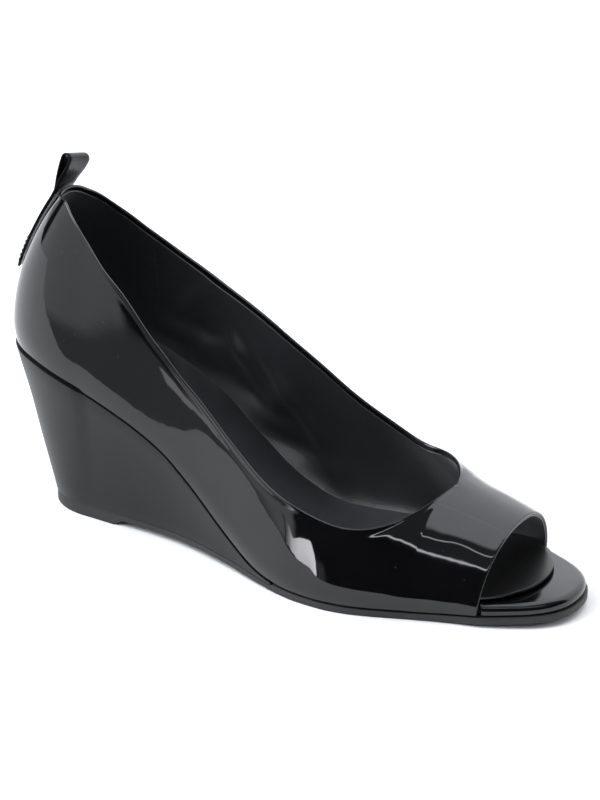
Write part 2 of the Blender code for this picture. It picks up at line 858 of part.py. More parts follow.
def build():
    """Builds every piece of the shoe."""
    for old in list(bpy.data.objects):
        bpy.data.objects.remove(old)
    collection = bpy.data.collections.new("wedge_pump")
    bpy.context.scene.collection.children.link(collection)
    rubber = make_material("sole_rubber", (0.035, 0.035, 0.036), 0.7)
    cover = make_material("wedge_cover", (0.045, 0.045, 0.047), 0.45)
    board = make_material("toe_wrap", (0.014, 0.014, 0.015), 0.2)
    lining = make_material("sock_lining", (0.020, 0.020, 0.021), 0.5)
    strap = make_material("loop_strap", (0.018, 0.018, 0.019), 0.3)
    make_object("outsole", ring_body(outsole_rings()), rubber, collection)
    make_object("wedge", ring_body(wedge_rings()), cover, collection)
    make_upper(collection)
    make_object("insole", ring_body(insole_rings()), board, collection)
    make_object("sock", ring_body(sock_rings()), lining, collection)
    make_object("pull_loop", loop_body(), strap, collection)


build()
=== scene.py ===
"""Looks of a right wedge pump: patent upper, covered wedge, wrapped toe rim, lining, sock and pull loop."""

import logging
import math
from collections.abc import Callable, Sequence
from dataclasses import dataclass
from enum import Enum

import bmesh
import bpy
import numpy as np
from mathutils import Matrix, Vector, noise
from mathutils.bvhtree import BVHTree


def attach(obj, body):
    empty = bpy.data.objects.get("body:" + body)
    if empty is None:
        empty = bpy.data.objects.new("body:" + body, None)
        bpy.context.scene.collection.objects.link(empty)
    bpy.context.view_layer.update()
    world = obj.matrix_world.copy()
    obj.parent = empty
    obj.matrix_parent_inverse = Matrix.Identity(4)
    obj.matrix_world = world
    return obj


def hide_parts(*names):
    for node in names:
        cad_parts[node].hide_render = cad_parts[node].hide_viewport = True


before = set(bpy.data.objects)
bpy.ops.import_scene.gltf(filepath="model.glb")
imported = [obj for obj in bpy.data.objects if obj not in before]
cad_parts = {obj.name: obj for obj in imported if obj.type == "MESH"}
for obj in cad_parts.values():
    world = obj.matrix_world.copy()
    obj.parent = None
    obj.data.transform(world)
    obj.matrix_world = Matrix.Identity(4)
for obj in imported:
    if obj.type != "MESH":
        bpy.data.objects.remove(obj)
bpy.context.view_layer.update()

log = logging.getLogger("wedge_pump")

Point = tuple[float, float, float]
Table = tuple[tuple[float, ...], ...]

QUARTER_TURN = math.radians(90.0)
# How close to a quarter turn a rounded end and a cross section count as closed
ARC_END = 0.001
SECTION_END = 0.0002
# Rounds in which a height on the heel settles with its own place
SETTLING_ROUNDS = 6
# Step for slopes, and the room that plain rows leave to a rounded end, in metres
SMALL_STEP = 0.0005
WELD_DISTANCE = 0.00002
SHARP_ANGLE = 50.0
# Share of a thread's thickness that is sunk into what it sews
THREAD_SINK = 0.2
# How fast a soft fold fades along and across itself
FOLD_FADES = (2.0, 1.2)


class Side(Enum):
    """Side of the shoe; the value is the sign of its Y."""

    LATERAL = -1.0
    MEDIAL = 1.0


def curve(table: Table, x: float, column: int = 1) -> float:
    """Reads a table between its rows without overshooting them.

    Args:
        table: Rows that start with the place and go on with values.
        x: The place to read at.
        column: Which value of the rows to read.

    Returns:
        The smooth value, constant outside the table.
    """
    rows = np.asarray(table, dtype=float)
    xs, ys = rows[:, 0], rows[:, column]
    steps = np.diff(xs)
    rates = np.diff(ys) / steps
    slopes = np.zeros(len(xs))
    slopes[0], slopes[-1] = rates[0], rates[-1]
    for i in range(1, len(xs) - 1):
        if rates[i - 1] * rates[i] > 0.0:
            a = 2.0 * steps[i] + steps[i - 1]
            b = steps[i] + 2.0 * steps[i - 1]
            slopes[i] = (a + b) / (a / rates[i - 1] + b / rates[i])
    x = float(np.clip(x, xs[0], xs[-1]))
    i = int(np.clip(np.searchsorted(xs, x, side="right") - 1, 0, len(xs) - 2))
    t = (x - xs[i]) / steps[i]
    return float(
        ys[i] * (1.0 + 2.0 * t) * (1.0 - t) ** 2
        + slopes[i] * steps[i] * t * (1.0 - t) ** 2
        + ys[i + 1] * t * t * (3.0 - 2.0 * t)
        + slopes[i + 1] * steps[i] * t * t * (t - 1.0)
    )


def straight(table: Table, x: float, column: int = 1) -> float:
    """Reads a table straight between its rows.

    Args:
        table: Rows that start with the place and go on with values.
        x: The place to read at.
        column: Which value of the rows to read.

    Returns:
        The value, constant outside the table.
    """
    rows = np.asarray(table, dtype=float)
    return float(np.interp(x, rows[:, 0], rows[:, column]))


def smooth_step(x: float, start: float, run: float) -> float:
    """Rises smoothly from 0 at start to 1 at the run's end."""
    t = min(max((x - start) / run, 0.0), 1.0)
    return t * t * (3.0 - 2.0 * t)


def arc(angle: float, squareness: float) -> tuple[float, float]:
    """Shares along and across a rounded end, at an angle from its side to a quarter turn at its tip."""
    across = max(math.cos(angle), 0.0) ** (2.0 / squareness) if angle < QUARTER_TURN - ARC_END else 0.0
    return math.sin(angle) ** (2.0 / squareness), across


@dataclass(frozen=True)
class Last:
    """Form of the shoe, measured from the heel's back; stations and shares are of the named sizes."""

    length: float = 0.240
    ball_width: float = 0.079
    heel_height: float = 0.062
    collar_height: float = 0.124
    rest_station: float = 0.155
    fit: float = 0.0003
    heel_arc_station: float = 0.174
    heel_squareness: float = 2.15
    toe_arc_station: float = 0.870
    toe_squareness: float = 2.3
    toe_axis: float = 0.0020
    section_power: float = 2.1
    ridge_offset: float = 0.0025
    tuck_rise: float = 0.0090
    throat_station: float = 0.7835
    opening_corner_station: float = 0.8825
    opening_top_station: float = 0.896
    # Seam line's plan: station, lateral and medial as shares of ball width
    plan: Table = (
        (0.174, 0.342, 0.337), (0.224, 0.349, 0.342), (0.274, 0.352, 0.337), (0.332, 0.357, 0.322),
        (0.391, 0.373, 0.314), (0.432, 0.396, 0.320), (0.470, 0.423, 0.337), (0.520, 0.468, 0.367),
        (0.570, 0.509, 0.400), (0.612, 0.530, 0.428), (0.649, 0.534, 0.448), (0.682, 0.522, 0.461),
        (0.716, 0.494, 0.466), (0.749, 0.456, 0.462), (0.783, 0.416, 0.449), (0.841, 0.357, 0.418),
        (0.887, 0.322, 0.386), (0.924, 0.285, 0.352), (0.958, 0.266, 0.334), (1.000, 0.253, 0.320),
    )
    # Bulge outside the seam line: station, metres
    bulge: Table = (
        (0.174, 0.0010), (0.350, 0.0008), (0.550, 0.0014), (0.680, 0.0016), (0.800, 0.0010), (0.900, 0.0003),
    )
    # Seam line's height: station, share of heel height
    seam: Table = (
        (-0.001, 1.005), (0.070, 0.984), (0.137, 0.929), (0.187, 0.874), (0.232, 0.813), (0.282, 0.731),
        (0.337, 0.613), (0.372, 0.506), (0.409, 0.387), (0.447, 0.266), (0.485, 0.165), (0.520, 0.094),
        (0.557, 0.060), (0.599, 0.048), (0.641, 0.047), (0.787, 0.047), (0.841, 0.056), (0.887, 0.069),
        (0.953, 0.082), (1.000, 0.095),
    )
    # Ridge: station, share of collar height
    ridge: Table = (
        (0.174, 1.090), (0.218, 1.145), (0.266, 1.205), (0.316, 1.195), (0.370, 1.105), (0.432, 0.985),
        (0.495, 0.863), (0.557, 0.726), (0.620, 0.593), (0.674, 0.482), (0.712, 0.413), (0.733, 0.380),
        (0.758, 0.349), (0.783, 0.323), (0.849, 0.286), (0.895, 0.261),
    )
    # Topline of the quarters: station, share of collar height
    topline_lateral: Table = (
        (0.088, 1.000), (0.115, 1.000), (0.140, 0.973), (0.164, 0.936), (0.218, 0.847), (0.280, 0.749),
        (0.326, 0.657), (0.367, 0.581), (0.417, 0.505), (0.471, 0.422), (0.517, 0.364), (0.568, 0.318),
        (0.626, 0.286),
    )
    topline_medial: Table = (
        (0.088, 1.000), (0.095, 0.983), (0.107, 0.951), (0.125, 0.912), (0.148, 0.880), (0.205, 0.810),
        (0.268, 0.748), (0.321, 0.704), (0.377, 0.658), (0.428, 0.601), (0.479, 0.534), (0.512, 0.486),
        (0.546, 0.435), (0.602, 0.367),
    )
    # Topline round the throat: station, side distance as a share of ball width
    throat_lateral: Table = ((0.674, 0.471), (0.701, 0.435), (0.732, 0.360), (0.756, 0.269), (0.774, 0.153))
    throat_medial: Table = ((0.657, 0.399), (0.700, 0.368), (0.733, 0.293), (0.757, 0.207), (0.773, 0.127))
    # Back of the heel: share of collar height, station
    back: Table = (
        (0.040, 0.075), (0.210, 0.048), (0.352, 0.029), (0.500, 0.006), (0.565, 0.000), (0.629, 0.003),
        (0.734, 0.015), (0.806, 0.030), (0.871, 0.047), (0.935, 0.066), (1.000, 0.088),
    )

    @property
    def heel_arc_x(self) -> float:
        """Where the heel's rounded end starts."""
        return self.heel_arc_station * self.length

    @property
    def toe_arc_x(self) -> float:
        """Where the toe's rounded end starts."""
        return self.toe_arc_station * self.length

    def seam_height(self, x: float) -> float:
        """Height of the seam line."""
        return self.heel_height * curve(self.seam, x / self.length)

    def ridge_height(self, x: float) -> float:
        """Height of the ridge."""
        return self.collar_height * curve(self.ridge, x / self.length)

    def seam_width(self, side: Side, x: float) -> float:
        """Distance of the seam line from the middle plane."""
        return self.ball_width * curve(self.plan, x / self.length, 1 if side is Side.LATERAL else 2)

    def heel_back(self, z: float) -> float:
        """Distance of the heel's rearmost point at a height."""
        return self.length * curve(self.back, z / self.collar_height)

    def heel_point(self, side: Side, angle: float, z: float, width: float, inset: float = 0.0) -> Point:
        """Point on the rounded heel at a height.

        Args:
            side: Side of the shoe.
            angle: From 0 at the side to a quarter turn at the back.
            z: Height.
            width: Distance of the side from the middle plane where the rounding starts.
            inset: How far inside the outline the point lies.

        Returns:
            The point, from the heel's back.
        """
        along, across = arc(angle, self.heel_squareness)
        x = self.heel_arc_x - (self.heel_arc_x - self.heel_back(z) - inset) * along
        return (x, side.value * (width - inset) * across, z)

    def toe_point(self, side: Side, angle: float, z: float, width: float, inset: float = 0.0) -> Point:
        """Point on the rounded toe at a height.

        Args:
            side: Side of the shoe.
            angle: From 0 at the side to a quarter turn at the tip.
            z: Height.
            width: Distance of the side from the middle plane.
            inset: How far inside the outline the point lies.

        Returns:
            The point, from the heel's back.
        """
        along, across = arc(angle, self.toe_squareness)
        x = self.toe_arc_x + (self.length - self.toe_arc_x - inset) * along
        return (x, self.toe_axis + side.value * (width - side.value * self.toe_axis - inset) * across, z)

    def reach(self, side: Side, x: float) -> float:
        """Distance from the ridge to the widest line."""
        return self.seam_width(side, x) + curve(self.bulge, x / self.length) - side.value * self.ridge_offset

    def section(self, side: Side, x: float, turn: float, z_seam: float) -> tuple[float, float]:
        """Cross section of the last.

        Args:
            side: Side of the shoe.
            x: Distance from the heel's back.
            turn: From 0 at the seam to a quarter turn on the ridge.
            z_seam: Height of the section's foot.

        Returns:
            Side distance and height.
        """
        power = 2.0 / self.section_power
        narrowing = max(math.cos(turn), 0.0) ** power if turn < QUARTER_TURN - SECTION_END else 0.0
        rise = (self.ridge_height(x) - z_seam) * math.sin(turn) ** power
        tuck = curve(self.bulge, x / self.length) * max(1.0 - rise / self.tuck_rise, 0.0) ** 2
        return self.reach(side, x) * narrowing + side.value * self.ridge_offset - tuck, z_seam + rise

    def turn_at_height(self, x: float, z: float, z_seam: float) -> float:
        """Turn at which the section reaches a height."""
        share = min(max((z - z_seam) / (self.ridge_height(x) - z_seam), 0.0), 1.0)
        return math.asin(share ** (self.section_power / 2.0))

    def turn_at_distance(self, side: Side, x: float, distance: float) -> float:
        """Turn at which the section comes to a distance from the middle plane."""
        share = min(max((distance - side.value * self.ridge_offset) / self.reach(side, x), 0.0), 1.0)
        return math.acos(share ** (self.section_power / 2.0))

    def inside_width(self, side: Side, x: float, lift: float, inset: float) -> float:
        """Room inside the upper.

        Args:
            side: Side of the shoe.
            x: Distance from the heel's back.
            lift: Height above the upper's foot.
            inset: Distance from the outside, square to the wall.

        Returns:
            Distance of the inside from the middle plane.
        """
        step = SMALL_STEP
        foot = self.seam_height(x) + self.fit
        z = foot + lift
        here, _ = self.section(side, x, self.turn_at_height(x, z, foot), foot)
        above, _ = self.section(side, x, self.turn_at_height(x, z + step, foot), foot)
        ahead, _ = self.section(side, x + step, self.turn_at_height(x + step, z, foot), foot)
        return here - inset * math.hypot(1.0, math.hypot((above - here) / step, (ahead - here) / step))

    def heel_angles(self, count: int) -> list[float]:
        """Angles round one half of the heel, without the first."""
        return [QUARTER_TURN * k / count for k in range(1, count + 1)]

    def heel_seam_x(self, side: Side, angle: float, inset: float = 0.0) -> float:
        """Where the seam line's rounded heel lies at an angle.

        Args:
            side: Side of the shoe.
            angle: From 0 at the side to a quarter turn at the back.
            inset: How far inside the outline it lies.

        Returns:
            Distance from the heel's back.
        """
        x = self.heel_arc_x
        for _ in range(SETTLING_ROUNDS):
            x = self.heel_point(side, angle, self.seam_height(x), 0.0, inset)[0]
        return x

    def world(self, point: Sequence[float]) -> Vector:
        """The same point from the heel rest's middle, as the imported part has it."""
        return Vector((point[0] - self.rest_station * self.length, point[1], point[2]))


LAST = Last()


def spaced(line: Sequence[Point], places: Sequence[float]) -> list[Point]:
    """Points at given distances along a line.

    Args:
        line: Points of the line.
        places: Distances from its start; a negative one counts back from its end.

    Returns:
        One point for each place.
    """
    points = np.asarray(line, dtype=float)
    run = np.concatenate([[0.0], np.cumsum(np.linalg.norm(np.diff(points, axis=0), axis=1))])
    at = [place if place >= 0.0 else run[-1] + place for place in places]
    return [tuple(np.interp(a, run, points[:, k]) for k in range(3)) for a in at]


def line_length(line: Sequence[Point]) -> float:
    """Length of a line."""
    return float(np.linalg.norm(np.diff(np.asarray(line), axis=0), axis=1).sum())


def sheet(columns: int, rows: int, place: Callable[[int, int], Sequence[float]]) -> bmesh.types.BMesh:
    """Grid whose corners are moved to where the piece's form has them.

    Args:
        columns: Points one way.
        rows: Points the other way.
        place: Gives the point for a column and a row, from the heel's back.

    Returns:
        The new mesh, welded where its points meet.
    """
    bm = bmesh.new()
    bmesh.ops.create_grid(bm, x_segments=columns - 1, y_segments=rows - 1, size=0.5)
    column_layer = bm.verts.layers.int.new("column")
    row_layer = bm.verts.layers.int.new("row")
    for vert in bm.verts:
        i = round((vert.co.x + 0.5) * (columns - 1))
        j = round((vert.co.y + 0.5) * (rows - 1))
        vert[column_layer] = i
        vert[row_layer] = j
        vert.co = LAST.world(place(i, j))
    bmesh.ops.remove_doubles(bm, verts=bm.verts, dist=WELD_DISTANCE)
    bmesh.ops.dissolve_degenerate(bm, dist=WELD_DISTANCE / 2.0, edges=bm.edges)
    return bm


def sharp_edges(bm: bmesh.types.BMesh, degrees: float) -> list[bmesh.types.BMEdge]:
    """Edges between two faces that turn by more than an angle."""
    limit = math.radians(degrees)
    return [e for e in bm.edges if len(e.link_faces) == 2 and e.calc_face_angle(0.0) > limit]


def soften(bm: bmesh.types.BMesh, degrees: float, width: float, segments: int = 2) -> None:
    """Rounds the edges that turn by more than an angle."""
    bmesh.ops.recalc_face_normals(bm, faces=bm.faces)
    bmesh.ops.bevel(
        bm, geom=sharp_edges(bm, degrees), offset=width, offset_type="OFFSET", segments=segments,
        profile=0.5, affect="EDGES", material=-1, clamp_overlap=True,
    )


def tube(rings: list[list[Point]]) -> bmesh.types.BMesh:
    """Closed body through rings; ends that come to a line are welded, others are filled.

    Args:
        rings: Rings with equal numbers of points.

    Returns:
        The new mesh.
    """
    size = len(rings[0])
    bm = sheet(len(rings), size + 1, lambda i, j: rings[i][j % size])
    bmesh.ops.holes_fill(bm, edges=[e for e in bm.edges if e.is_boundary], sides=0)
    bmesh.ops.recalc_face_normals(bm, faces=bm.faces)
    return bm


def stitches(seats: Sequence[tuple[Vector, Vector]], length: float, width: float) -> bmesh.types.BMesh:
    """Row of sewn stitches, one for each seat.

    Args:
        seats: Middle of each stitch and its direction.
        length: Length of a stitch.
        width: Thickness of the thread.

    Returns:
        The new mesh.
    """
    bm = bmesh.new()
    for middle, direction in seats:
        turn = direction.to_track_quat("X", "Z").to_matrix().to_4x4()
        shape = Matrix.Diagonal((length / 2.0, width / 2.0, width / 2.0, 1.0))
        seat = Matrix.Translation(middle) @ turn @ shape
        bmesh.ops.create_icosphere(bm, subdivisions=2, radius=1.0, matrix=seat)
    return bm


def face_outwards(bm: bmesh.types.BMesh, inside: Vector) -> None:
    """Turns an open sheet's faces away from a point.

    Args:
        bm: The sheet.
        inside: A point on its inner side.
    """
    bmesh.ops.recalc_face_normals(bm, faces=bm.faces)
    votes = sum(1 if face.normal.dot(face.calc_center_median() - inside) > 0.0 else -1 for face in bm.faces)
    if votes < 0:
        bmesh.ops.reverse_faces(bm, faces=bm.faces)


def new_object(name: str, bm: bmesh.types.BMesh, material: bpy.types.Material) -> bpy.types.Object:
    """Makes an object of a mesh in progress.

    Args:
        name: Its name.
        bm: Its mesh, freed here.
        material: Its finish.

    Returns:
        The new object, in the scene.
    """
    mesh = bpy.data.meshes.new(name)
    bm.to_mesh(mesh)
    bm.free()
    mesh.materials.append(material)
    made = bpy.data.objects.new(name, mesh)
    bpy.context.scene.collection.objects.link(made)
    return made


@dataclass(frozen=True)
class Wall:
    """Thickness that a sheet grows inwards, and how finely it is rounded off."""

    thickness: float
    levels: int = 2


def piece(
    name: str, bm: bmesh.types.BMesh, material: bpy.types.Material, wall: Wall | None = None,
    replaces: str | None = None,
) -> None:
    """Makes a finished piece of the shoe that rides on its body.

    Args:
        name: The piece's name.
        bm: Its mesh, freed here.
        material: Its finish.
        wall: Thickness that modifiers give it, if any.
        replaces: The CAD node that it stands for, if any.
    """
    for face in bm.faces:
        face.smooth = True
    built = new_object(name, bm, material)
    if wall is None:
        built.data.set_sharp_from_angle(angle=math.radians(SHARP_ANGLE))
    else:
        shell = built.modifiers.new("wall", "SOLIDIFY")
        shell.thickness = wall.thickness
        shell.offset = -1.0
        shell.use_even_offset = True
        smoothing = built.modifiers.new("smoothing", "SUBSURF")
        smoothing.levels = wall.levels
        smoothing.render_levels = wall.levels
    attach(built, "root")
    if replaces:
        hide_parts(replaces)
    log.info("%s: %d faces", name, len(built.data.polygons))


class Nodes:
    """Short way to add and join the nodes of one tree."""

    def __init__(self, tree: bpy.types.NodeTree) -> None:
        """Keeps the tree."""
        self.tree = tree

    def add(self, kind: str, inputs: dict[str, object] | None = None, **settings: object) -> bpy.types.Node:
        """Adds a node.

        Args:
            kind: Blender's node type.
            inputs: Values or sockets by input name.
            settings: Properties of the node.

        Returns:
            The node.
        """
        node = self.tree.nodes.new(kind)
        for key, value in settings.items():
            setattr(node, key, value)
        for key, value in (inputs or {}).items():
            self.put(node.inputs[key], value)
        return node

    def split(self, kind: str, output: str) -> list[bpy.types.NodeSocket]:
        """The three parts of a vector that a new node gives."""
        parts = self.add("ShaderNodeSeparateXYZ", {"Vector": self.add(kind).outputs[output]})
        return list(parts.outputs)

    def put(self, socket: bpy.types.NodeSocket, value: object) -> None:
        """Links a socket to an input, or sets its value."""
        if isinstance(value, bpy.types.NodeSocket):
            self.tree.links.new(value, socket)
        else:
            socket.default_value = value

    def math(self, operation: str, a: object, b: object = 0.0, clamp: bool = False) -> bpy.types.NodeSocket:
        """Works out one sum.

        Args:
            operation: Blender's name of the sum.
            a: First value or socket.
            b: Second value or socket.
            clamp: Whether the result is held between 0 and 1.

        Returns:
            The socket with the result.
        """
        node = self.tree.nodes.new("ShaderNodeMath")
        node.operation = operation
        node.use_clamp = clamp
        self.put(node.inputs[0], a)
        self.put(node.inputs[1], b)
        return node.outputs[0]

    def ramp(
        self, value: object, low: float, high: float, to_low: float = 0.0, to_high: float = 1.0,
    ) -> bpy.types.NodeSocket:
        """Moves a value smoothly from one range to another, held at its ends.

        Args:
            value: The value or socket.
            low: Where its range starts.
            high: Where its range ends.
            to_low: What the start becomes.
            to_high: What the end becomes.

        Returns:
            The socket with the moved value.
        """
        node = self.add("ShaderNodeMapRange", {
            "Value": value, "From Min": low, "From Max": high, "To Min": to_low, "To Max": to_high,
        }, interpolation_type="SMOOTHSTEP")
        return node.outputs["Result"]

    def mix(self, share: object, a: object, b: object) -> bpy.types.NodeSocket:
        """Mixes two colours.

        Args:
            share: How much of the second there is.
            a: First colour or socket.
            b: Second colour or socket.

        Returns:
            The socket with the colour.
        """
        node = self.tree.nodes.new("ShaderNodeMix")
        node.data_type = "RGBA"
        self.put(node.inputs[0], share)
        self.put(node.inputs[6], a)
        self.put(node.inputs[7], b)
        return node.outputs[2]


class Effect(Enum):
    """Surface effects that the finishes share."""

    PEEL = "varnish_peel"
    GRAIN = "leather_grain"
    DUST = "dust_specks"
    MOTTLE = "soft_mottle"


# Fine waves on the varnish: how much finer than the slow ones, and their share
FINE_PEEL_SCALE, FINE_PEEL_SHARE = 9.0, 0.035
GRAIN_CLOUD_SCALE = 0.6
# Largest speck of dust, and share of the places without one
SPECK_SIZE, EMPTY_CELLS = 0.11, 0.55
# Mottle: noise values between which it rises, scale, how it lightens the colour and how it roughens
MOTTLE_RANGE, MOTTLE_SCALE, MOTTLE_LIGHT, MOTTLE_ROUGHNESS = (0.35, 0.70), 60.0, (1.9, 0.001), 0.10
DUST_COLOUR, DUST_ROUGHNESS = (0.30, 0.30, 0.32, 1.0), 0.5
# Painted shade at a finish's toe end, for the shadow under the vamp: colour, and length in metres over which
# it comes
PAINTED_SHADE_COLOUR, PAINTED_SHADE_RUN = (0.0008, 0.0008, 0.0009, 1.0), 0.015
SHEEN_ROUGHNESS = 0.4
# Edges of a tread groove, in shares of its pitch, and of what counts as a face that looks down
GROOVE_EDGES, DOWN_EDGES = (0.10, 0.20), (-0.95, -0.80)


def effect_tree(effect: Effect) -> bpy.types.ShaderNodeTree:
    """The node group of a shared effect, made the first time it is asked for.

    Args:
        effect: Which effect.

    Returns:
        The group, with Scale and Amount in and Value out.
    """
    found = bpy.data.node_groups.get(effect.value)
    if found:
        return found
    tree = bpy.data.node_groups.new(effect.value, "ShaderNodeTree")
    for name, way in (("Scale", "INPUT"), ("Amount", "INPUT"), ("Value", "OUTPUT")):
        tree.interface.new_socket(name, in_out=way, socket_type="NodeSocketFloat")
    nodes = Nodes(tree)
    given = nodes.add("NodeGroupInput")
    scale, amount = given.outputs["Scale"], given.outputs["Amount"]
    place = nodes.add("ShaderNodeTexCoord").outputs["Object"]

    def cloud(finer: float, detail: float, roughness: float = 0.5) -> bpy.types.NodeSocket:
        """Noise so many times finer than the group's scale."""
        size = nodes.math("MULTIPLY", scale, finer)
        inputs = {"Vector": place, "Scale": size, "Detail": detail, "Roughness": roughness}
        return nodes.add("ShaderNodeTexNoise", inputs).outputs[0]

    if effect is Effect.PEEL:
        fine = nodes.math("MULTIPLY", cloud(FINE_PEEL_SCALE, 0.0), FINE_PEEL_SHARE)
        value = nodes.math("ADD", cloud(1.0, 1.0, 0.4), fine)
    elif effect is Effect.GRAIN:
        cells = nodes.add("ShaderNodeTexVoronoi", {"Vector": place, "Scale": scale}, feature="SMOOTH_F1")
        value = nodes.math("ADD", cells.outputs["Distance"], cloud(GRAIN_CLOUD_SCALE, 3.0))
    elif effect is Effect.DUST:
        dots = nodes.add("ShaderNodeTexVoronoi", {"Vector": place, "Scale": scale})
        size = nodes.add("ShaderNodeTexWhiteNoise", {"Vector": dots.outputs["Position"]}).outputs[0]
        near = nodes.math("LESS_THAN", dots.outputs["Distance"], nodes.math("MULTIPLY", size, SPECK_SIZE))
        value = nodes.math("MULTIPLY", near, nodes.math("GREATER_THAN", size, EMPTY_CELLS))
    else:
        value = nodes.ramp(cloud(1.0, 4.0, 0.55), *MOTTLE_RANGE)
    nodes.add("NodeGroupOutput", {"Value": nodes.math("MULTIPLY", value, amount)})
    return tree


@dataclass(frozen=True)
class Finish:
    """One surface finish; depths are in metres and scales in features per metre."""

    name: str
    colour: tuple[float, float, float]
    roughness: float
    specular: float = 0.5
    peel_scale: float = 0.0
    peel_depth: float = 0.0
    grain_scale: float = 0.0
    grain_depth: float = 0.0
    dust: float = 0.0
    dust_scale: float = 420.0
    mottle: float = 0.0
    sheen: float = 0.0
    # Where along the object's X the painted shade towards the toe starts; 0 for none
    painted_toe_shade: float = 0.0
    tread_depth: float = 0.0
    tread_pitch: float = 0.0032

    def effect(self, nodes: Nodes, effect: Effect, scale: float, amount: float = 1.0) -> bpy.types.NodeSocket:
        """Places a shared effect.

        Args:
            nodes: The material's nodes.
            effect: Which effect.
            scale: Its features per metre.
            amount: How strong it is.

        Returns:
            The socket with its value.
        """
        group = nodes.add("ShaderNodeGroup", node_tree=effect_tree(effect))
        group.inputs["Scale"].default_value = scale
        group.inputs["Amount"].default_value = amount
        return group.outputs["Value"]

    def tread(self, nodes: Nodes) -> bpy.types.NodeSocket:
        """Height of the fine zigzag tread, only on faces that look down.

        Args:
            nodes: The material's nodes.

        Returns:
            The socket with the height, from 0 to 1.
        """
        x, y, _ = nodes.split("ShaderNodeTexCoord", "Object")
        _, _, facing = nodes.split("ShaderNodeNewGeometry", "Normal")
        zigzag = nodes.math("PINGPONG", y, 2.0 * self.tread_pitch)
        phase = nodes.math("DIVIDE", nodes.math("ADD", x, zigzag), self.tread_pitch)
        groove = nodes.ramp(nodes.math("PINGPONG", phase, 0.5), *GROOVE_EDGES)
        return nodes.math("MULTIPLY", groove, nodes.ramp(facing, *DOWN_EDGES, 1.0, 0.0))

    def relief(self, nodes: Nodes) -> bpy.types.NodeSocket | None:
        """Bumps of varnish, grain and tread, one on the other.

        Args:
            nodes: The material's nodes.

        Returns:
            The socket with the bent normal, or None on a smooth finish.
        """
        layers = []
        if self.peel_depth > 0.0:
            layers.append((self.effect(nodes, Effect.PEEL, self.peel_scale), self.peel_depth))
        if self.grain_depth > 0.0:
            layers.append((self.effect(nodes, Effect.GRAIN, self.grain_scale), self.grain_depth))
        if self.tread_depth > 0.0:
            layers.append((self.tread(nodes), self.tread_depth))
        normal = None
        for height, depth in layers:
            bump = nodes.add("ShaderNodeBump", {"Height": height, "Distance": depth})
            if normal is not None:
                nodes.put(bump.inputs["Normal"], normal)
            normal = bump.outputs["Normal"]
        return normal

    def material(self) -> bpy.types.Material:
        """Makes the material.

        Returns:
            A node material whose detail follows Object coordinates.
        """
        made = bpy.data.materials.new(self.name)
        made.use_nodes = True
        nodes = Nodes(made.node_tree)
        shader = made.node_tree.nodes["Principled BSDF"]
        shader.inputs["Specular IOR Level"].default_value = self.specular
        if self.sheen > 0.0:
            shader.inputs["Sheen Weight"].default_value = self.sheen
            shader.inputs["Sheen Roughness"].default_value = SHEEN_ROUGHNESS
        mottle = self.effect(nodes, Effect.MOTTLE, MOTTLE_SCALE, self.mottle)
        gain, base = MOTTLE_LIGHT
        light = tuple(c * gain + base for c in self.colour)
        colour = nodes.mix(mottle, (*self.colour, 1.0), (*light, 1.0))
        roughness = nodes.math("ADD", nodes.math("MULTIPLY", mottle, MOTTLE_ROUGHNESS), self.roughness)
        if self.dust > 0.0:
            dust = self.effect(nodes, Effect.DUST, self.dust_scale, self.dust)
            colour = nodes.mix(dust, colour, DUST_COLOUR)
            roughness = nodes.math("ADD", roughness, nodes.math("MULTIPLY", dust, DUST_ROUGHNESS), clamp=True)
        # Painted shade: the colour darkens towards the toe, where the vamp shades the sock
        if self.painted_toe_shade > 0.0:
            along = nodes.split("ShaderNodeTexCoord", "Object")[0]
            front = nodes.ramp(along, self.painted_toe_shade, self.painted_toe_shade + PAINTED_SHADE_RUN)
            colour = nodes.mix(front, colour, PAINTED_SHADE_COLOUR)
        nodes.put(shader.inputs["Base Color"], colour)
        nodes.put(shader.inputs["Roughness"], roughness)
        normal = self.relief(nodes)
        if normal is not None:
            nodes.put(shader.inputs["Normal"], normal)
        return made


PATENT = Finish(
    "patent_leather", (0.0018, 0.0018, 0.0022), 0.03, peel_scale=42.0, peel_depth=0.00030, dust=0.05,
    dust_scale=260.0, mottle=0.25,
)
TOE_PATENT = Finish(
    "toe_wrap_patent", (0.0025, 0.0025, 0.0028), 0.10, peel_scale=90.0, peel_depth=0.00012, mottle=0.25,
)
COVER = Finish(
    "wedge_cover_satin", (0.0055, 0.0054, 0.0051), 0.42, specular=0.36, grain_scale=2600.0,
    grain_depth=0.00002, mottle=0.20,
)
LINING = Finish(
    "lining_leather", (0.0120, 0.0127, 0.0144), 0.34, specular=1.0, sheen=0.18, grain_scale=2100.0,
    grain_depth=0.00003, dust=0.10, dust_scale=330.0, mottle=0.30,
)
# The sock's colour carries painted shade towards its toe, under the vamp
SOCK = Finish(
    "sock_leather", (0.0200, 0.0208, 0.0230), 0.32, specular=0.7, painted_toe_shade=0.140, grain_scale=1900.0,
    grain_depth=0.00003, dust=0.10, dust_scale=300.0, mottle=0.30,
)
RUBBER = Finish(
    "sole_rubber", (0.014, 0.014, 0.014), 0.58, tread_depth=0.0005, grain_scale=1500.0, grain_depth=0.00004,
    mottle=0.35,
)
STRAP = Finish(
    "loop_strap_leather", (0.0020, 0.0020, 0.0023), 0.20, specular=0.20, grain_scale=1500.0,
    grain_depth=0.00003, mottle=0.25,
)
THREAD = Finish("black_thread", (0.010, 0.010, 0.011), 0.50, mottle=0.2, sheen=0.2)


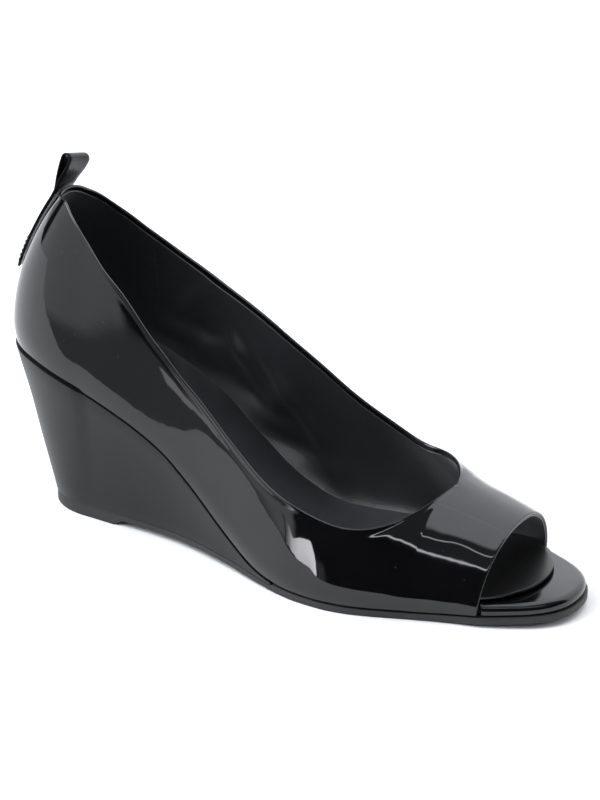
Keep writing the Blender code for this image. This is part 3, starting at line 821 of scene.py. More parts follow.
@dataclass
class Upper:
    """Patent shell with its folded topline, and the lining inside it."""

    shell_thickness: float = 0.0012
    lining_thickness: float = 0.0005
    lining_gap: float = 0.00005
    lining_drop: float = 0.0022
    lining_cove: float = 0.0060
    cove_height: float = 0.0330
    # Where the lining's cove comes and goes, and over what length, from the heel's back
    cove_start: tuple[float, float] = (0.0, 0.030)
    cove_end: tuple[float, float] = (0.150, 0.030)
    # Soft folds of the lining: station, height over its foot, length, width, depth, slant in degrees
    lining_folds: Table = (
        (0.262, 0.0300, 0.030, 0.0044, 0.0018, 52.0), (0.290, 0.0225, 0.024, 0.0040, -0.0015, 47.0),
        (0.320, 0.0200, 0.034, 0.0046, 0.0021, 40.0), (0.352, 0.0260, 0.020, 0.0040, 0.0015, -35.0),
        (0.382, 0.0150, 0.026, 0.0044, -0.0015, 20.0), (0.415, 0.0210, 0.030, 0.0048, 0.0019, 64.0),
        (0.455, 0.0120, 0.024, 0.0044, -0.0013, 30.0), (0.500, 0.0170, 0.026, 0.0048, 0.0014, -50.0),
        (0.235, 0.0140, 0.022, 0.0040, 0.0014, 15.0), (0.440, 0.0290, 0.030, 0.0050, 0.0016, -28.0),
    )
    # Soft bends of the shell on its lateral side: station, height over its foot, length, width, depth, slant
    shell_bends: Table = (
        (0.592, 0.0170, 0.024, 0.0060, 0.00050, 78.0), (0.622, 0.0150, 0.024, 0.0055, -0.00035, 74.0),
        (0.700, 0.0150, 0.030, 0.0070, 0.00030, -24.0), (0.740, 0.0120, 0.026, 0.0050, -0.00022, -16.0),
    )
    wave_scale: float = 48.0
    wave_depth: float = 0.00027
    ripple_scale: float = 105.0
    ripple_depth: float = 0.00028
    ripple_station: float = 0.640
    ripple_run: float = 0.1
    ripple_rest: float = 0.12
    # Rows over which the waves fade in from an edge
    fade_rows: float = 4.0
    bead_rise: float = 0.00016
    bead_groove: float = 0.00012
    seam_station: float = 0.189
    seam_heights: tuple[float, float] = (0.0570, 0.1010)
    stitch_pitch: float = 0.0021
    stitch_length: float = 0.0014
    thread: float = 0.0004
    edge_support: float = 0.0007
    second_support: float = 0.0024
    rows: int = 18
    vamp_lines: int = 9
    topline_lines: int = 32
    heel_lines: int = 14
    samples: int = 120

    def quarter_line(self, side: Side, x: float, top_turn: float) -> list[Point]:
        """One line across the quarter, in a plane across the shoe.

        Args:
            side: Side of the shoe.
            x: Distance from the heel's back.
            top_turn: Turn of the section at which the line ends.

        Returns:
            Its points, from the seam up.
        """
        foot = LAST.seam_height(x) + LAST.fit
        line = []
        for k in range(self.samples + 1):
            y, z = LAST.section(side, x, top_turn * k / self.samples, foot)
            line.append((x, side.value * y, z))
        return line

    def vamp_line(self, side: Side, share: float) -> list[Point]:
        """One line of the vamp.

        Args:
            side: Side of the shoe.
            share: Where it lies, from 0 at the throat to 1 at the toe opening.

        Returns:
            Its points, from the seam to the ridge.
        """
        throat = LAST.throat_station * LAST.length
        corner = LAST.opening_corner_station * LAST.length
        top = LAST.opening_top_station * LAST.length
        line = []
        for k in range(self.samples + 1):
            turn = QUARTER_TURN * k / self.samples
            x = throat + (corner + (top - corner) * math.sin(turn) - throat) * share
            y, z = LAST.section(side, x, turn, LAST.seam_height(x) + LAST.fit)
            line.append((x, side.value * y, z))
        return line

    def heel_line(self, side: Side, angle: float, table: Table) -> list[Point]:
        """One line of the rounded heel.

        Args:
            side: Side of the shoe.
            angle: From 0 at the side to a quarter turn at the back.
            table: Topline that it ends on.

        Returns:
            Its points, from the seam up.
        """
        x = LAST.heel_arc_x
        foot = LAST.seam_height(x)
        top = LAST.collar_height * curve(table, x / LAST.length)
        for _ in range(SETTLING_ROUNDS):
            foot = LAST.seam_height(LAST.heel_point(side, angle, foot, 0.0)[0]) + LAST.fit
            top = LAST.collar_height * curve(table, LAST.heel_point(side, angle, top, 0.0)[0] / LAST.length)
        top_turn = LAST.turn_at_height(x, top, foot)
        line = []
        for k in range(self.samples + 1):
            y, z = LAST.section(side, x, top_turn * k / self.samples, foot)
            line.append(LAST.heel_point(side, angle, z, y))
        return line

    def topline(self, side: Side) -> list[tuple[float, float]]:
        """Places evenly along the topline.

        Args:
            side: Side of the shoe.

        Returns:
            Distances from the heel's back, each with the section's turn, from the heel to the throat.
        """
        quarter = LAST.topline_lateral if side is Side.LATERAL else LAST.topline_medial
        throat = LAST.throat_lateral if side is Side.LATERAL else LAST.throat_medial
        rows: list[tuple[float, float]] = []
        stations = [(LAST.heel_arc_station, curve(quarter, LAST.heel_arc_station))]
        stations.extend(row for row in quarter if row[0] > LAST.heel_arc_station)
        for station, share in stations:
            x = station * LAST.length
            foot = LAST.seam_height(x) + LAST.fit
            rows.append((x, LAST.turn_at_height(x, LAST.collar_height * share, foot)))
        for station, share in throat:
            x = station * LAST.length
            rows.append((x, LAST.turn_at_distance(side, x, LAST.ball_width * share)))
        rows.append((LAST.throat_station * LAST.length, QUARTER_TURN))
        places = []
        for x, turn in rows:
            y, z = LAST.section(side, x, turn, LAST.seam_height(x) + LAST.fit)
            places.append((x, side.value * y, z))
        steps = np.linalg.norm(np.diff(np.asarray(places), axis=0), axis=1)
        run = np.concatenate([[0.0], np.cumsum(steps)])
        table = [(run[i], rows[i][0], rows[i][1]) for i in range(len(rows))]
        table.append((run[-1] + steps[-1], rows[-2][0], 2.0 * QUARTER_TURN - rows[-2][1]))
        places = np.linspace(0.0, run[-1], self.topline_lines)
        return [(curve(table, at, 1), min(curve(table, at, 2), QUARTER_TURN)) for at in places]

    def half(self, side: Side) -> list[tuple[list[Point], bool]]:
        """Lines of one side.

        Args:
            side: Side of the shoe.

        Returns:
            Lines from the toe opening to the heel's back, and whether each ends on the topline.
        """
        depth = (LAST.opening_corner_station - LAST.throat_station) * LAST.length
        shares = [1.0, 1.0 - self.edge_support / depth]
        shares.extend(k / self.vamp_lines for k in range(self.vamp_lines - 1, 0, -1))
        lines = [(self.vamp_line(side, share), False) for share in shares]
        for x, turn in reversed(self.topline(side)):
            lines.append((self.quarter_line(side, x, turn), True))
        quarter = LAST.topline_lateral if side is Side.LATERAL else LAST.topline_medial
        for angle in LAST.heel_angles(self.heel_lines):
            lines.append((self.heel_line(side, angle, quarter), True))
        return lines

    def lines(self) -> list[tuple[list[Point], bool]]:
        """All lines from the lateral end of the toe opening round the heel to its medial end."""
        return self.half(Side.LATERAL) + list(reversed(self.half(Side.MEDIAL)[:-1]))

    def places(self, length: float) -> list[float]:
        """Distances of the rows along a line, close together at its two ends."""
        inner = list(np.linspace(self.second_support, length - self.second_support, self.rows))
        return [0.0, self.edge_support, *inner, length - self.edge_support, length]

    def net(self, drop: float) -> bmesh.types.BMesh:
        """Outer surface of the upper as a coarse net.

        Args:
            drop: How far below the topline it ends.

        Returns:
            The net, faces outwards.
        """
        rows = []
        for line, at_topline in self.lines():
            length = line_length(line) - (drop if at_topline else 0.0)
            rows.append(spaced(line, self.places(length)))
        bm = sheet(len(rows), len(rows[0]), lambda i, j: rows[i][j])
        face_outwards(bm, LAST.world((LAST.length / 2.0, 0.0, LAST.heel_height / 2.0)))
        return bm

    def folds(self, table: Table, co: Vector) -> float:
        """Adds up soft folds.

        Args:
            table: The folds.
            co: The point to read them at.

        Returns:
            Their depth there.
        """
        x = co.x + LAST.rest_station * LAST.length
        lift = co.z - LAST.seam_height(x)
        depth = 0.0
        for station, height, length, width, fold, slant in table:
            along, up = x - station * LAST.length, lift - height
            turn = math.radians(slant)
            u = along * math.cos(turn) + up * math.sin(turn)
            v = up * math.cos(turn) - along * math.sin(turn)
            depth += fold * math.exp(-(FOLD_FADES[0] * u / length) ** 2 - (FOLD_FADES[1] * v / width) ** 2)
        return depth

    def slack(self, co: Vector) -> float:
        """How far the lining stands in from the shell: its curve on to the insole and its soft folds.

        Args:
            co: A point of the shell.

        Returns:
            The distance, on top of the shell's own thickness.
        """
        x = co.x + LAST.rest_station * LAST.length
        lift = co.z - LAST.seam_height(x)
        inner = smooth_step(x, *self.cove_start) * (1.0 - smooth_step(x, *self.cove_end))
        slack = self.lining_cove * max(1.0 - lift / self.cove_height, 0.0) ** 2 * inner
        if co.y > 0.0:
            slack += self.folds(self.lining_folds, co)
        return max(slack, 0.0)

    def shell(self) -> bmesh.types.BMesh:
        """Net of the shell with its folded edge, its gentle waves and its soft bends.

        Returns:
            The net, faces outwards.
        """
        bm = self.net(0.0)
        bm.normal_update()
        columns, rows = bm.verts.layers.int["column"], bm.verts.layers.int["row"]
        at_topline = [flag for _, flag in self.lines()]
        last = max(vert[rows] for vert in bm.verts)
        shifts = []
        for vert in bm.verts:
            row = vert[rows]
            wave = noise.noise(vert.co * self.wave_scale) * self.wave_depth
            station = vert.co.x / LAST.length + LAST.rest_station
            ahead = smooth_step(station, self.ripple_station, self.ripple_run)
            share = self.ripple_rest + (1.0 - self.ripple_rest) * ahead
            wave += noise.noise(vert.co * self.ripple_scale) * self.ripple_depth * share
            if vert.co.y < 0.0:
                wave += self.folds(self.shell_bends, vert.co)
            fade = self.fade_rows
            rise = wave * smooth_step(row, 1.0, fade) * (1.0 - smooth_step(row, last - 1.0 - fade, fade))
            rise *= smooth_step(min(vert[columns], len(at_topline) - 1 - vert[columns]), 0.0, fade)
            if at_topline[vert[columns]] and row == last - 1:
                rise += self.bead_rise
            if at_topline[vert[columns]] and row == last - 2:
                rise -= self.bead_groove
            shifts.append((vert, vert.normal * rise))
        for vert, shift in shifts:
            vert.co += shift
        return bm

    def make_seam(self, lining: bmesh.types.BMesh) -> None:
        """Sews the lining's side seams.

        Args:
            lining: The lining's net, which the stitches lie on.
        """
        tree = BVHTree.FromBMesh(lining)
        x = (self.seam_station - LAST.rest_station) * LAST.length
        sunk = self.lining_thickness + self.thread * THREAD_SINK
        seats = []
        for side in Side:
            hits = []
            for z in np.arange(*self.seam_heights, self.stitch_pitch):
                hit = tree.ray_cast(Vector((x, 0.0, float(z))), Vector((0.0, side.value, 0.0)))[0]
                if hit is not None:
                    hits.append(hit - Vector((0.0, side.value * sunk, 0.0)))
            seats.extend((low, high - low) for low, high in zip(hits, hits[1:]))
        bm = stitches(seats, self.stitch_length, self.thread)
        piece("lining_seam_thread", bm, THREAD.material())

    def make(self) -> None:
        """Builds and dresses the shell and the lining."""
        wall = Wall(self.shell_thickness)
        piece("upper_shell", self.shell(), PATENT.material(), wall, replaces="upper")
        lining = self.net(self.lining_drop)
        bmesh.ops.subdivide_edges(lining, edges=lining.edges, cuts=1, use_grid_fill=True)
        lining.normal_update()
        depth = self.shell_thickness + self.lining_gap
        shifts = [(vert, vert.normal * (depth + self.slack(vert.co))) for vert in lining.verts]
        for vert, shift in shifts:
            vert.co -= shift
        self.make_seam(lining)
        wall = Wall(self.lining_thickness, levels=1)
        piece("upper_lining", lining, LINING.material(), wall)


@dataclass
class Plates:
    """Sole, wedge, insole with its toe rim, and sock, all on the same bed line."""

    wall: float = 0.0016
    wall_fit: float = 0.0004
    sock_thickness: float = 0.0010
    board_thickness: float = 0.0020
    wrap_thickness: float = 0.0040
    wrap_start: float = 0.78
    wrap_run: float = 0.08
    rim_inset: float = 0.0008
    rim_rounding: float = 0.0024
    flare_start: float = 0.0002
    flare_run: float = 0.0012
    sole_back_height: float = 0.0050
    sole_heel_inset: float = 0.0006
    sole_inset_run: float = 0.25
    wedge_ledge: float = 0.0004
    wedge_waisting: float = 0.0007
    waisting_end: float = 0.50
    waisting_run: float = 0.15
    wedge_rest: float = 0.556
    wedge_front: float = 0.557
    sock_arc: float = 0.850
    sock_tip: float = 0.939
    # Roundings in metres, and the angles in degrees over which the sole's and the board's edges get one
    tread_rounding: float = 0.0004
    wedge_rounding: float = 0.0004
    edge_rounding: float = 0.0003
    sole_edge_angle: float = 55.0
    board_edge_angle: float = 70.0
    # Angle kept free between the lines of the rim's flare and the other lines of the toe
    flare_clearance: float = math.radians(2.0)
    flare_lines: int = 7
    sock_columns: int = 15
    heel_lines: int = 22
    toe_lines: int = 18
    plain_lines: int = 64
    wedge_rows: int = 9
    rim_rows: int = 7
    # Sole: station, tread height, top height, in metres
    sole: Table = (
        (0.070, 0.0000, 0.0050), (0.226, 0.0000, 0.0050), (0.243, 0.0025, 0.0049), (0.266, 0.0025, 0.0048),
        (0.432, 0.0024, 0.0046), (0.470, 0.0020, 0.0042), (0.520, 0.0011, 0.0031), (0.556, 0.0005, 0.0022),
        (0.559, 0.0004, 0.0030), (0.591, 0.0000, 0.0027), (0.641, 0.0000, 0.0026), (0.749, 0.0000, 0.0026),
        (0.787, 0.0001, 0.0026), (0.841, 0.0006, 0.0032), (0.887, 0.0013, 0.0040), (0.953, 0.0022, 0.0048),
        (1.000, 0.0030, 0.0056),
    )
    # How far the tread's outline lies inside the seam line: station, metres
    tread_inset: Table = (
        (0.174, 0.0042), (0.270, 0.0041), (0.340, 0.0034), (0.391, 0.0020), (0.450, 0.0006), (0.520, 0.0),
        (1.000, 0.0),
    )

    def plain_places(self, end: float) -> list[tuple[str, float]]:
        """Places that the plates share ahead of the rounded heel, with each row of the sole's table.

        Args:
            end: Distance from the heel's back that they stay under.

        Returns:
            The places, from the heel on.
        """
        start = LAST.heel_arc_x + SMALL_STEP
        rows = [row[0] * LAST.length for row in self.sole if start < row[0] * LAST.length < end]
        spread = np.linspace(LAST.heel_arc_x, LAST.toe_arc_x, self.plain_lines)
        spacing = (LAST.toe_arc_x - LAST.heel_arc_x) / self.plain_lines / 2.0
        kept = [float(x) for x in spread if start < x < end and min(abs(x - row) for row in rows) > spacing]
        return [("plain", x) for x in sorted(kept + rows)]

    def tread_width(self, side: Side, x: float) -> float:
        """Distance of the tread's outline from the middle plane."""
        return LAST.seam_width(side, x) - curve(self.tread_inset, x / LAST.length)

    def board(self, x: float) -> float:
        """Thickness of the insole, larger where its toe is wrapped."""
        wrapped = smooth_step(x / LAST.length, self.wrap_start, self.wrap_run)
        return self.board_thickness + (self.wrap_thickness - self.board_thickness) * wrapped

    def bed(self, x: float) -> float:
        """Underside of the insole."""
        return LAST.seam_height(x) + LAST.fit

    def ring(self, line: Callable[[Side], list[Point]]) -> list[Point]:
        """One ring from the lateral line, up, and the medial line, down."""
        return line(Side.LATERAL) + line(Side.MEDIAL)[::-1]

    def heel_places(self) -> list[tuple[str, float]]:
        """Places round the heel, from its back to its side."""
        angles = [*reversed(LAST.heel_angles(self.heel_lines)), 0.0]
        return [("heel", angle) for angle in angles]

    def toe_places(self) -> list[tuple[str, float]]:
        """Places round the toe, from its side to its tip."""
        return [("toe", QUARTER_TURN * k / self.toe_lines) for k in range(self.toe_lines + 1)]

    def sole_line(self, side: Side, kind: str, value: float) -> list[Point]:
        """Side of the outsole at one place.

        Args:
            side: Side of the shoe.
            kind: "heel", "plain" or "toe".
            value: Angle round an end, or distance from the heel's back.

        Returns:
            Its points, from the tread up.
        """
        line = []
        for top in (False, True):
            if kind == "heel":
                z = straight(self.sole, LAST.heel_arc_station, 2) if top else 0.0
                width = self.tread_width(side, LAST.heel_arc_x)
                x, y, _ = LAST.heel_point(side, value, self.sole_back_height, width, self.sole_heel_inset)
                line.append((x, y, z))
                continue
            x = value
            if kind == "toe":
                x = LAST.toe_arc_x + (LAST.length - LAST.toe_arc_x) * arc(value, LAST.toe_squareness)[0]
            z = straight(self.sole, x / LAST.length, 2 if top else 1)
            width = self.tread_width(side, x)
            if kind == "toe":
                line.append(LAST.toe_point(side, value, z, width))
            else:
                fading = smooth_step(x / LAST.length, LAST.heel_arc_station, self.sole_inset_run)
                line.append((x, side.value * (width - self.sole_heel_inset * (1.0 - fading)), z))
        return line

    def make_sole(self) -> None:
        """Builds and dresses the outsole."""
        places = self.heel_places() + self.plain_places(LAST.toe_arc_x - SMALL_STEP) + self.toe_places()
        bm = tube([self.ring(lambda side, p=p: self.sole_line(side, *p)) for p in places])
        soften(bm, self.sole_edge_angle, self.tread_rounding, 3)
        piece("outsole_rubber", bm, RUBBER.material(), replaces="outsole")

    def wedge_point(self, side: Side, kind: str, value: float, share: float) -> Point:
        """Point on the wedge's side.

        Args:
            side: Side of the shoe.
            kind: "heel" or "plain".
            value: Angle round the heel, or distance from its back.
            share: From 0 at the wedge's bottom to 1 at its top.

        Returns:
            The point.
        """
        x = LAST.heel_arc_x if kind == "heel" else value
        narrow = self.tread_width(side, x)
        wide = LAST.seam_width(side, x) + self.wedge_ledge
        fading = smooth_step(x / LAST.length, self.waisting_end - self.waisting_run, self.waisting_run)
        waisting = self.wedge_waisting * (1.0 - fading)
        width = narrow + (wide - narrow) * share - waisting * 4.0 * share * (1.0 - share)
        bottom = straight(self.sole, min(x / LAST.length, self.wedge_rest), 2) + LAST.fit
        if kind == "heel":
            ledge = self.wedge_ledge
            top = LAST.seam_height(LAST.heel_seam_x(side, value, -ledge))
            z = bottom + (top - bottom) * share
            return LAST.heel_point(side, value, z, width + ledge, ledge * (1.0 - 2.0 * share))
        return (x, side.value * width, bottom + (LAST.seam_height(x) - bottom) * share)

    def make_wedge(self) -> None:
        """Builds and dresses the covered wedge."""
        front = self.wedge_front * LAST.length
        places = self.heel_places() + self.plain_places(front - 2.0 * SMALL_STEP)
        places.append(("plain", front))
        rings = []
        for kind, value in places:
            rings.append(self.ring(lambda side, k=kind, v=value: [
                self.wedge_point(side, k, v, row / (self.wedge_rows - 1)) for row in range(self.wedge_rows)
            ]))
        bm = tube(rings)
        soften(bm, SHARP_ANGLE, self.wedge_rounding, 3)
        piece("wedge_covered", bm, COVER.material(), replaces="wedge")

    def insole_line(self, side: Side, kind: str, value: float) -> list[Point]:
        """Side of the insole at one place.

        Args:
            side: Side of the shoe.
            kind: "heel", "plain" or "toe".
            value: Angle round an end, or distance from the heel's back.

        Returns:
            Its points, from the underside round the top edge.
        """
        inset = self.wall + self.wall_fit
        line: list[Point] = []
        if kind == "heel":
            x = LAST.heel_seam_x(side, value)
            for level in range(self.rim_rows + 2):
                z = self.bed(x) + (0.0 if level == 0 else self.board(x))
                room = LAST.inside_width(side, LAST.heel_arc_x, z - self.bed(x), inset)
                px, py, _ = LAST.heel_point(side, value, z, room + inset, inset)
                line.append((px, py, self.bed(px) + (0.0 if level == 0 else self.board(px))))
            return line
        x = value
        if kind == "toe":
            reach = LAST.length - LAST.toe_arc_x - self.rim_inset
            x = LAST.toe_arc_x + reach * arc(value, LAST.toe_squareness)[0]
        flare = smooth_step(x, LAST.opening_corner_station * LAST.length + self.flare_start, self.flare_run)
        for level in range(self.rim_rows + 2):
            turn = QUARTER_TURN * max(level - 1, 0) / self.rim_rows
            rounding = self.rim_rounding if level > 0 else 0.0
            drop = rounding * flare * (1.0 - math.sin(turn))
            rim_inset = self.rim_inset + rounding * (1.0 - math.cos(turn))
            lift = 0.0 if level == 0 else self.board(x) - drop
            z = self.bed(x) + lift
            room = LAST.inside_width(side, x, lift, inset)
            if kind == "toe":
                px, py, _ = LAST.toe_point(side, value, z, LAST.seam_width(side, x), rim_inset)
                width = room + (side.value * py - room) * flare if flare < 1.0 else side.value * py
                line.append((px, side.value * width, z))
            else:
                rim = LAST.seam_width(side, x) - rim_inset
                line.append((x, side.value * (room + (rim - room) * flare), z))
        return line

    def make_insole(self) -> None:
        """Builds and dresses the insole with the wrapped rim in front of the toe opening."""
        places = self.heel_places() + self.plain_places(LAST.toe_arc_x - SMALL_STEP)
        corner = LAST.opening_corner_station * LAST.length + self.flare_start - LAST.toe_arc_x
        reach = LAST.length - LAST.toe_arc_x - self.rim_inset
        spans = [corner + self.flare_run * k / (self.flare_lines - 1) for k in range(self.flare_lines)]
        angles = [math.asin((span / reach) ** (LAST.toe_squareness / 2.0)) for span in spans]
        later = [angle for _, angle in self.toe_places() if angle > angles[-1] + self.flare_clearance]
        places.extend(("toe", angle) for angle in angles + later)
        bm = tube([self.ring(lambda side, p=p: self.insole_line(side, *p)) for p in places])
        soften(bm, self.board_edge_angle, self.edge_rounding)
        piece("insole_toe_rim", bm, TOE_PATENT.material(), replaces="insole")

    def sock_line(self, kind: str, value: float) -> list[Point]:
        """Top of the sock across the shoe at one place.

        Args:
            kind: "heel", "plain" or "front".
            value: Angle round an end, or distance from the heel's back.

        Returns:
            The points from the lateral to the medial side.
        """
        inset = self.wall + self.wall_fit
        ends = []
        for side in Side:
            if kind == "heel":
                x = LAST.heel_seam_x(side, value)
                lift = self.board(x) + LAST.fit + self.sock_thickness
                room = LAST.inside_width(side, LAST.heel_arc_x, lift, inset)
                px, py, _ = LAST.heel_point(side, value, self.bed(x) + lift, room + inset, inset)
                ends.append((px, py))
                continue
            x, across = value, 1.0
            if kind == "front":
                along, across = arc(value, 2.0)
                x = self.sock_arc * LAST.length + (self.sock_tip - self.sock_arc) * LAST.length * along
            lift = self.board(x) + LAST.fit + self.sock_thickness
            limit = min(x, LAST.opening_corner_station * LAST.length)
            room = LAST.inside_width(side, limit, lift, inset)
            ends.append((x, side.value * room * across + LAST.toe_axis * (1.0 - across)))
        line = []
        for k in range(self.sock_columns):
            share = k / (self.sock_columns - 1)
            x = ends[0][0] + (ends[1][0] - ends[0][0]) * share
            y = ends[0][1] + (ends[1][1] - ends[0][1]) * share
            line.append((x, y, self.bed(x) + self.board(x) + LAST.fit + self.sock_thickness))
        return line

    def make_sock(self) -> None:
        """Builds and dresses the sock."""
        places = self.heel_places() + self.plain_places(self.sock_arc * LAST.length - 2.0 * SMALL_STEP)
        places.extend(("front", angle) for _, angle in self.toe_places())
        lines = [self.sock_line(*place) for place in places]
        bm = sheet(len(lines), self.sock_columns, lambda i, j: lines[i][j])
        far_below = LAST.world((LAST.length / 2.0, 0.0, -1.0))
        face_outwards(bm, far_below)
        bmesh.ops.solidify(bm, geom=bm.faces, thickness=-self.sock_thickness)
        bmesh.ops.recalc_face_normals(bm, faces=bm.faces)
        soften(bm, SHARP_ANGLE, self.edge_rounding)
        piece("sock_liner", bm, SOCK.material(), replaces="sock")

    def make(self) -> None:
        """Builds every plate."""
        self.make_sole()
        self.make_wedge()
        self.make_insole()
        self.make_sock()


@dataclass
class PullLoop:
    """Folded strap at the back of the heel."""

    width: float = 0.0130
    drop: float = 0.0340
    rise: float = 0.0130
    shift: float = 0.0010
    tilt: float = math.radians(17.0)
    tilt_drop: float = 0.0040
    lean: float = 0.0038
    curl: float = 0.15
    flattening: float = 0.6
    thickness: float = 0.0010
    rounding: float = 0.0002
    fold_slit: float = 0.0002
    eye_length: float = 0.0100
    eye_opening: float = 0.0036
    eye_ease: float = 0.0040
    stitch_inset: float = 0.0014
    stitch_pitch: float = 0.0020
    stitch_length: float = 0.0014
    thread: float = 0.00036
    sewn_length: float = 0.0120
    leg_lines: int = 16
    free_lines: int = 12
    columns: int = 9

    def back(self, z: float) -> float:
        """Back of the heel, carried on above the collar with the loop's lean."""
        if z <= LAST.collar_height:
            return LAST.heel_back(z)
        share = (z - LAST.collar_height) / self.rise
        return LAST.heel_back(LAST.collar_height) + self.lean * share * (1.0 + self.curl * (1.0 - share))

    def path(self) -> list[tuple[float, float]]:
        """Middle line of the strap seen from the side.

        Returns:
            Distances from the heel's back with heights: up the outer leg, round the eye, down inside.
        """
        base = LAST.fit + self.thickness / 2.0
        outer = base + self.thickness + self.fold_slit
        radius = (outer - base) / 2.0 + self.eye_opening / 2.0
        top = LAST.collar_height + self.rise
        centre_z = top - self.thickness / 2.0 - radius
        eye_start = top - self.eye_length - self.eye_ease
        heights = list(np.linspace(LAST.collar_height - self.drop, LAST.collar_height, self.leg_lines))
        heights.extend(np.linspace(LAST.collar_height, centre_z, self.free_lines)[1:])
        spread = [self.eye_opening / 2.0 * smooth_step(z, eye_start, centre_z - eye_start) for z in heights]
        up = [(self.back(z) - outer - s, z) for z, s in zip(heights, spread)]
        down = [(self.back(z) - base + s, z) for z, s in zip(heights, spread)][::-1]
        centre_x = (up[-1][0] + down[0][0]) / 2.0
        turns = [math.radians(a) for a in range(165, 0, -15)]
        roll = [(centre_x + radius * math.cos(a), centre_z + radius * math.sin(a)) for a in turns]
        return up + roll + down

    def point(self, x: float, z: float, across: float) -> Point:
        """Point on the strap's middle sheet, bowed round the heel and tilted above the collar.

        Args:
            x: Its distance from the heel's back on the middle line.
            z: Its height on the middle line.
            across: Its distance from the middle line.

        Returns:
            The point.
        """
        depth = LAST.heel_arc_x - LAST.heel_back(min(z, LAST.collar_height))
        free = smooth_step(z, LAST.collar_height - self.tilt_drop, self.rise)
        sway = smooth_step(z, LAST.collar_height - self.drop, self.drop + self.rise)
        share = abs(across + self.shift * sway) / LAST.seam_width(Side.LATERAL, LAST.heel_arc_x)
        power = LAST.heel_squareness
        bow = depth * (1.0 - (1.0 - share ** power) ** (1.0 / power))
        tilt = self.tilt * free
        over = max(z - LAST.collar_height, 0.0)
        y = across * math.cos(tilt) + over * math.sin(tilt) + self.shift * sway
        return (x + bow * (1.0 - self.flattening * free), y, z - across * math.sin(tilt))

    def make_stitches(self) -> None:
        """Sews the outer leg down along its sides and across its end."""
        foot = LAST.collar_height - self.drop + self.stitch_inset
        edge = self.width / 2.0 - self.stitch_inset
        face = LAST.fit + self.thickness * 2.0 + self.fold_slit - self.thread * THREAD_SINK
        rows = [(-edge, z) for z in np.arange(foot + self.sewn_length, foot, -self.stitch_pitch)]
        rows.extend((across, foot) for across in np.arange(-edge, edge, self.stitch_pitch))
        rows.extend((edge, z) for z in np.arange(foot, foot + self.sewn_length, self.stitch_pitch))
        places = [LAST.world(self.point(self.back(float(z)) - face, float(z), float(a))) for a, z in rows]
        seats = [((a + b) / 2.0, b - a) for a, b in zip(places, places[1:])]
        bm = stitches(seats, self.stitch_length, self.thread)
        piece("pull_loop_thread", bm, THREAD.material())

    def make(self) -> None:
        """Builds and dresses the loop."""
        path = self.path()

        def place(i: int, j: int) -> Point:
            """Point for a place along the path and one across the strap."""
            across = self.width * (j / (self.columns - 1) - 0.5)
            return self.point(*path[i], across)

        bm = sheet(len(path), self.columns, place)
        bmesh.ops.recalc_face_normals(bm, faces=bm.faces)
        bmesh.ops.solidify(bm, geom=bm.faces, thickness=self.thickness)
        bmesh.ops.recalc_face_normals(bm, faces=bm.faces)
        soften(bm, SHARP_ANGLE, self.rounding)
        piece("pull_loop_strap", bm, STRAP.material(), replaces="pull_loop")
        self.make_stitches()


@dataclass(frozen=True)
class Glow:
    """Lit patch of the room round the shoe, in degrees; azimuth 0 is its lateral side and 90 its toe."""

    azimuths: tuple[float, float]
    elevations: tuple[float, float]
    level: float
    soft: float = 3.0
    rise: float = 0.0

    def add(
        self, nodes: Nodes, azimuth: bpy.types.NodeSocket, elevation: bpy.types.NodeSocket,
    ) -> bpy.types.NodeSocket:
        """Adds the patch's brightness.

        Args:
            nodes: The world's nodes.
            azimuth: Direction looked at, in degrees.
            elevation: Its height over the horizon, in degrees.

        Returns:
            The socket with the patch's light.
        """
        share = self.level
        if self.rise:
            share = nodes.math("ADD", nodes.math("MULTIPLY", elevation, self.rise), self.level)
        for value, (low, high) in ((azimuth, self.azimuths), (elevation, self.elevations)):
            inward = nodes.ramp(value, low - self.soft, low + self.soft)
            outward = nodes.ramp(value, high - self.soft, high + self.soft, 1.0, 0.0)
            share = nodes.math("MULTIPLY", nodes.math("MULTIPLY", share, inward), outward)
        return share


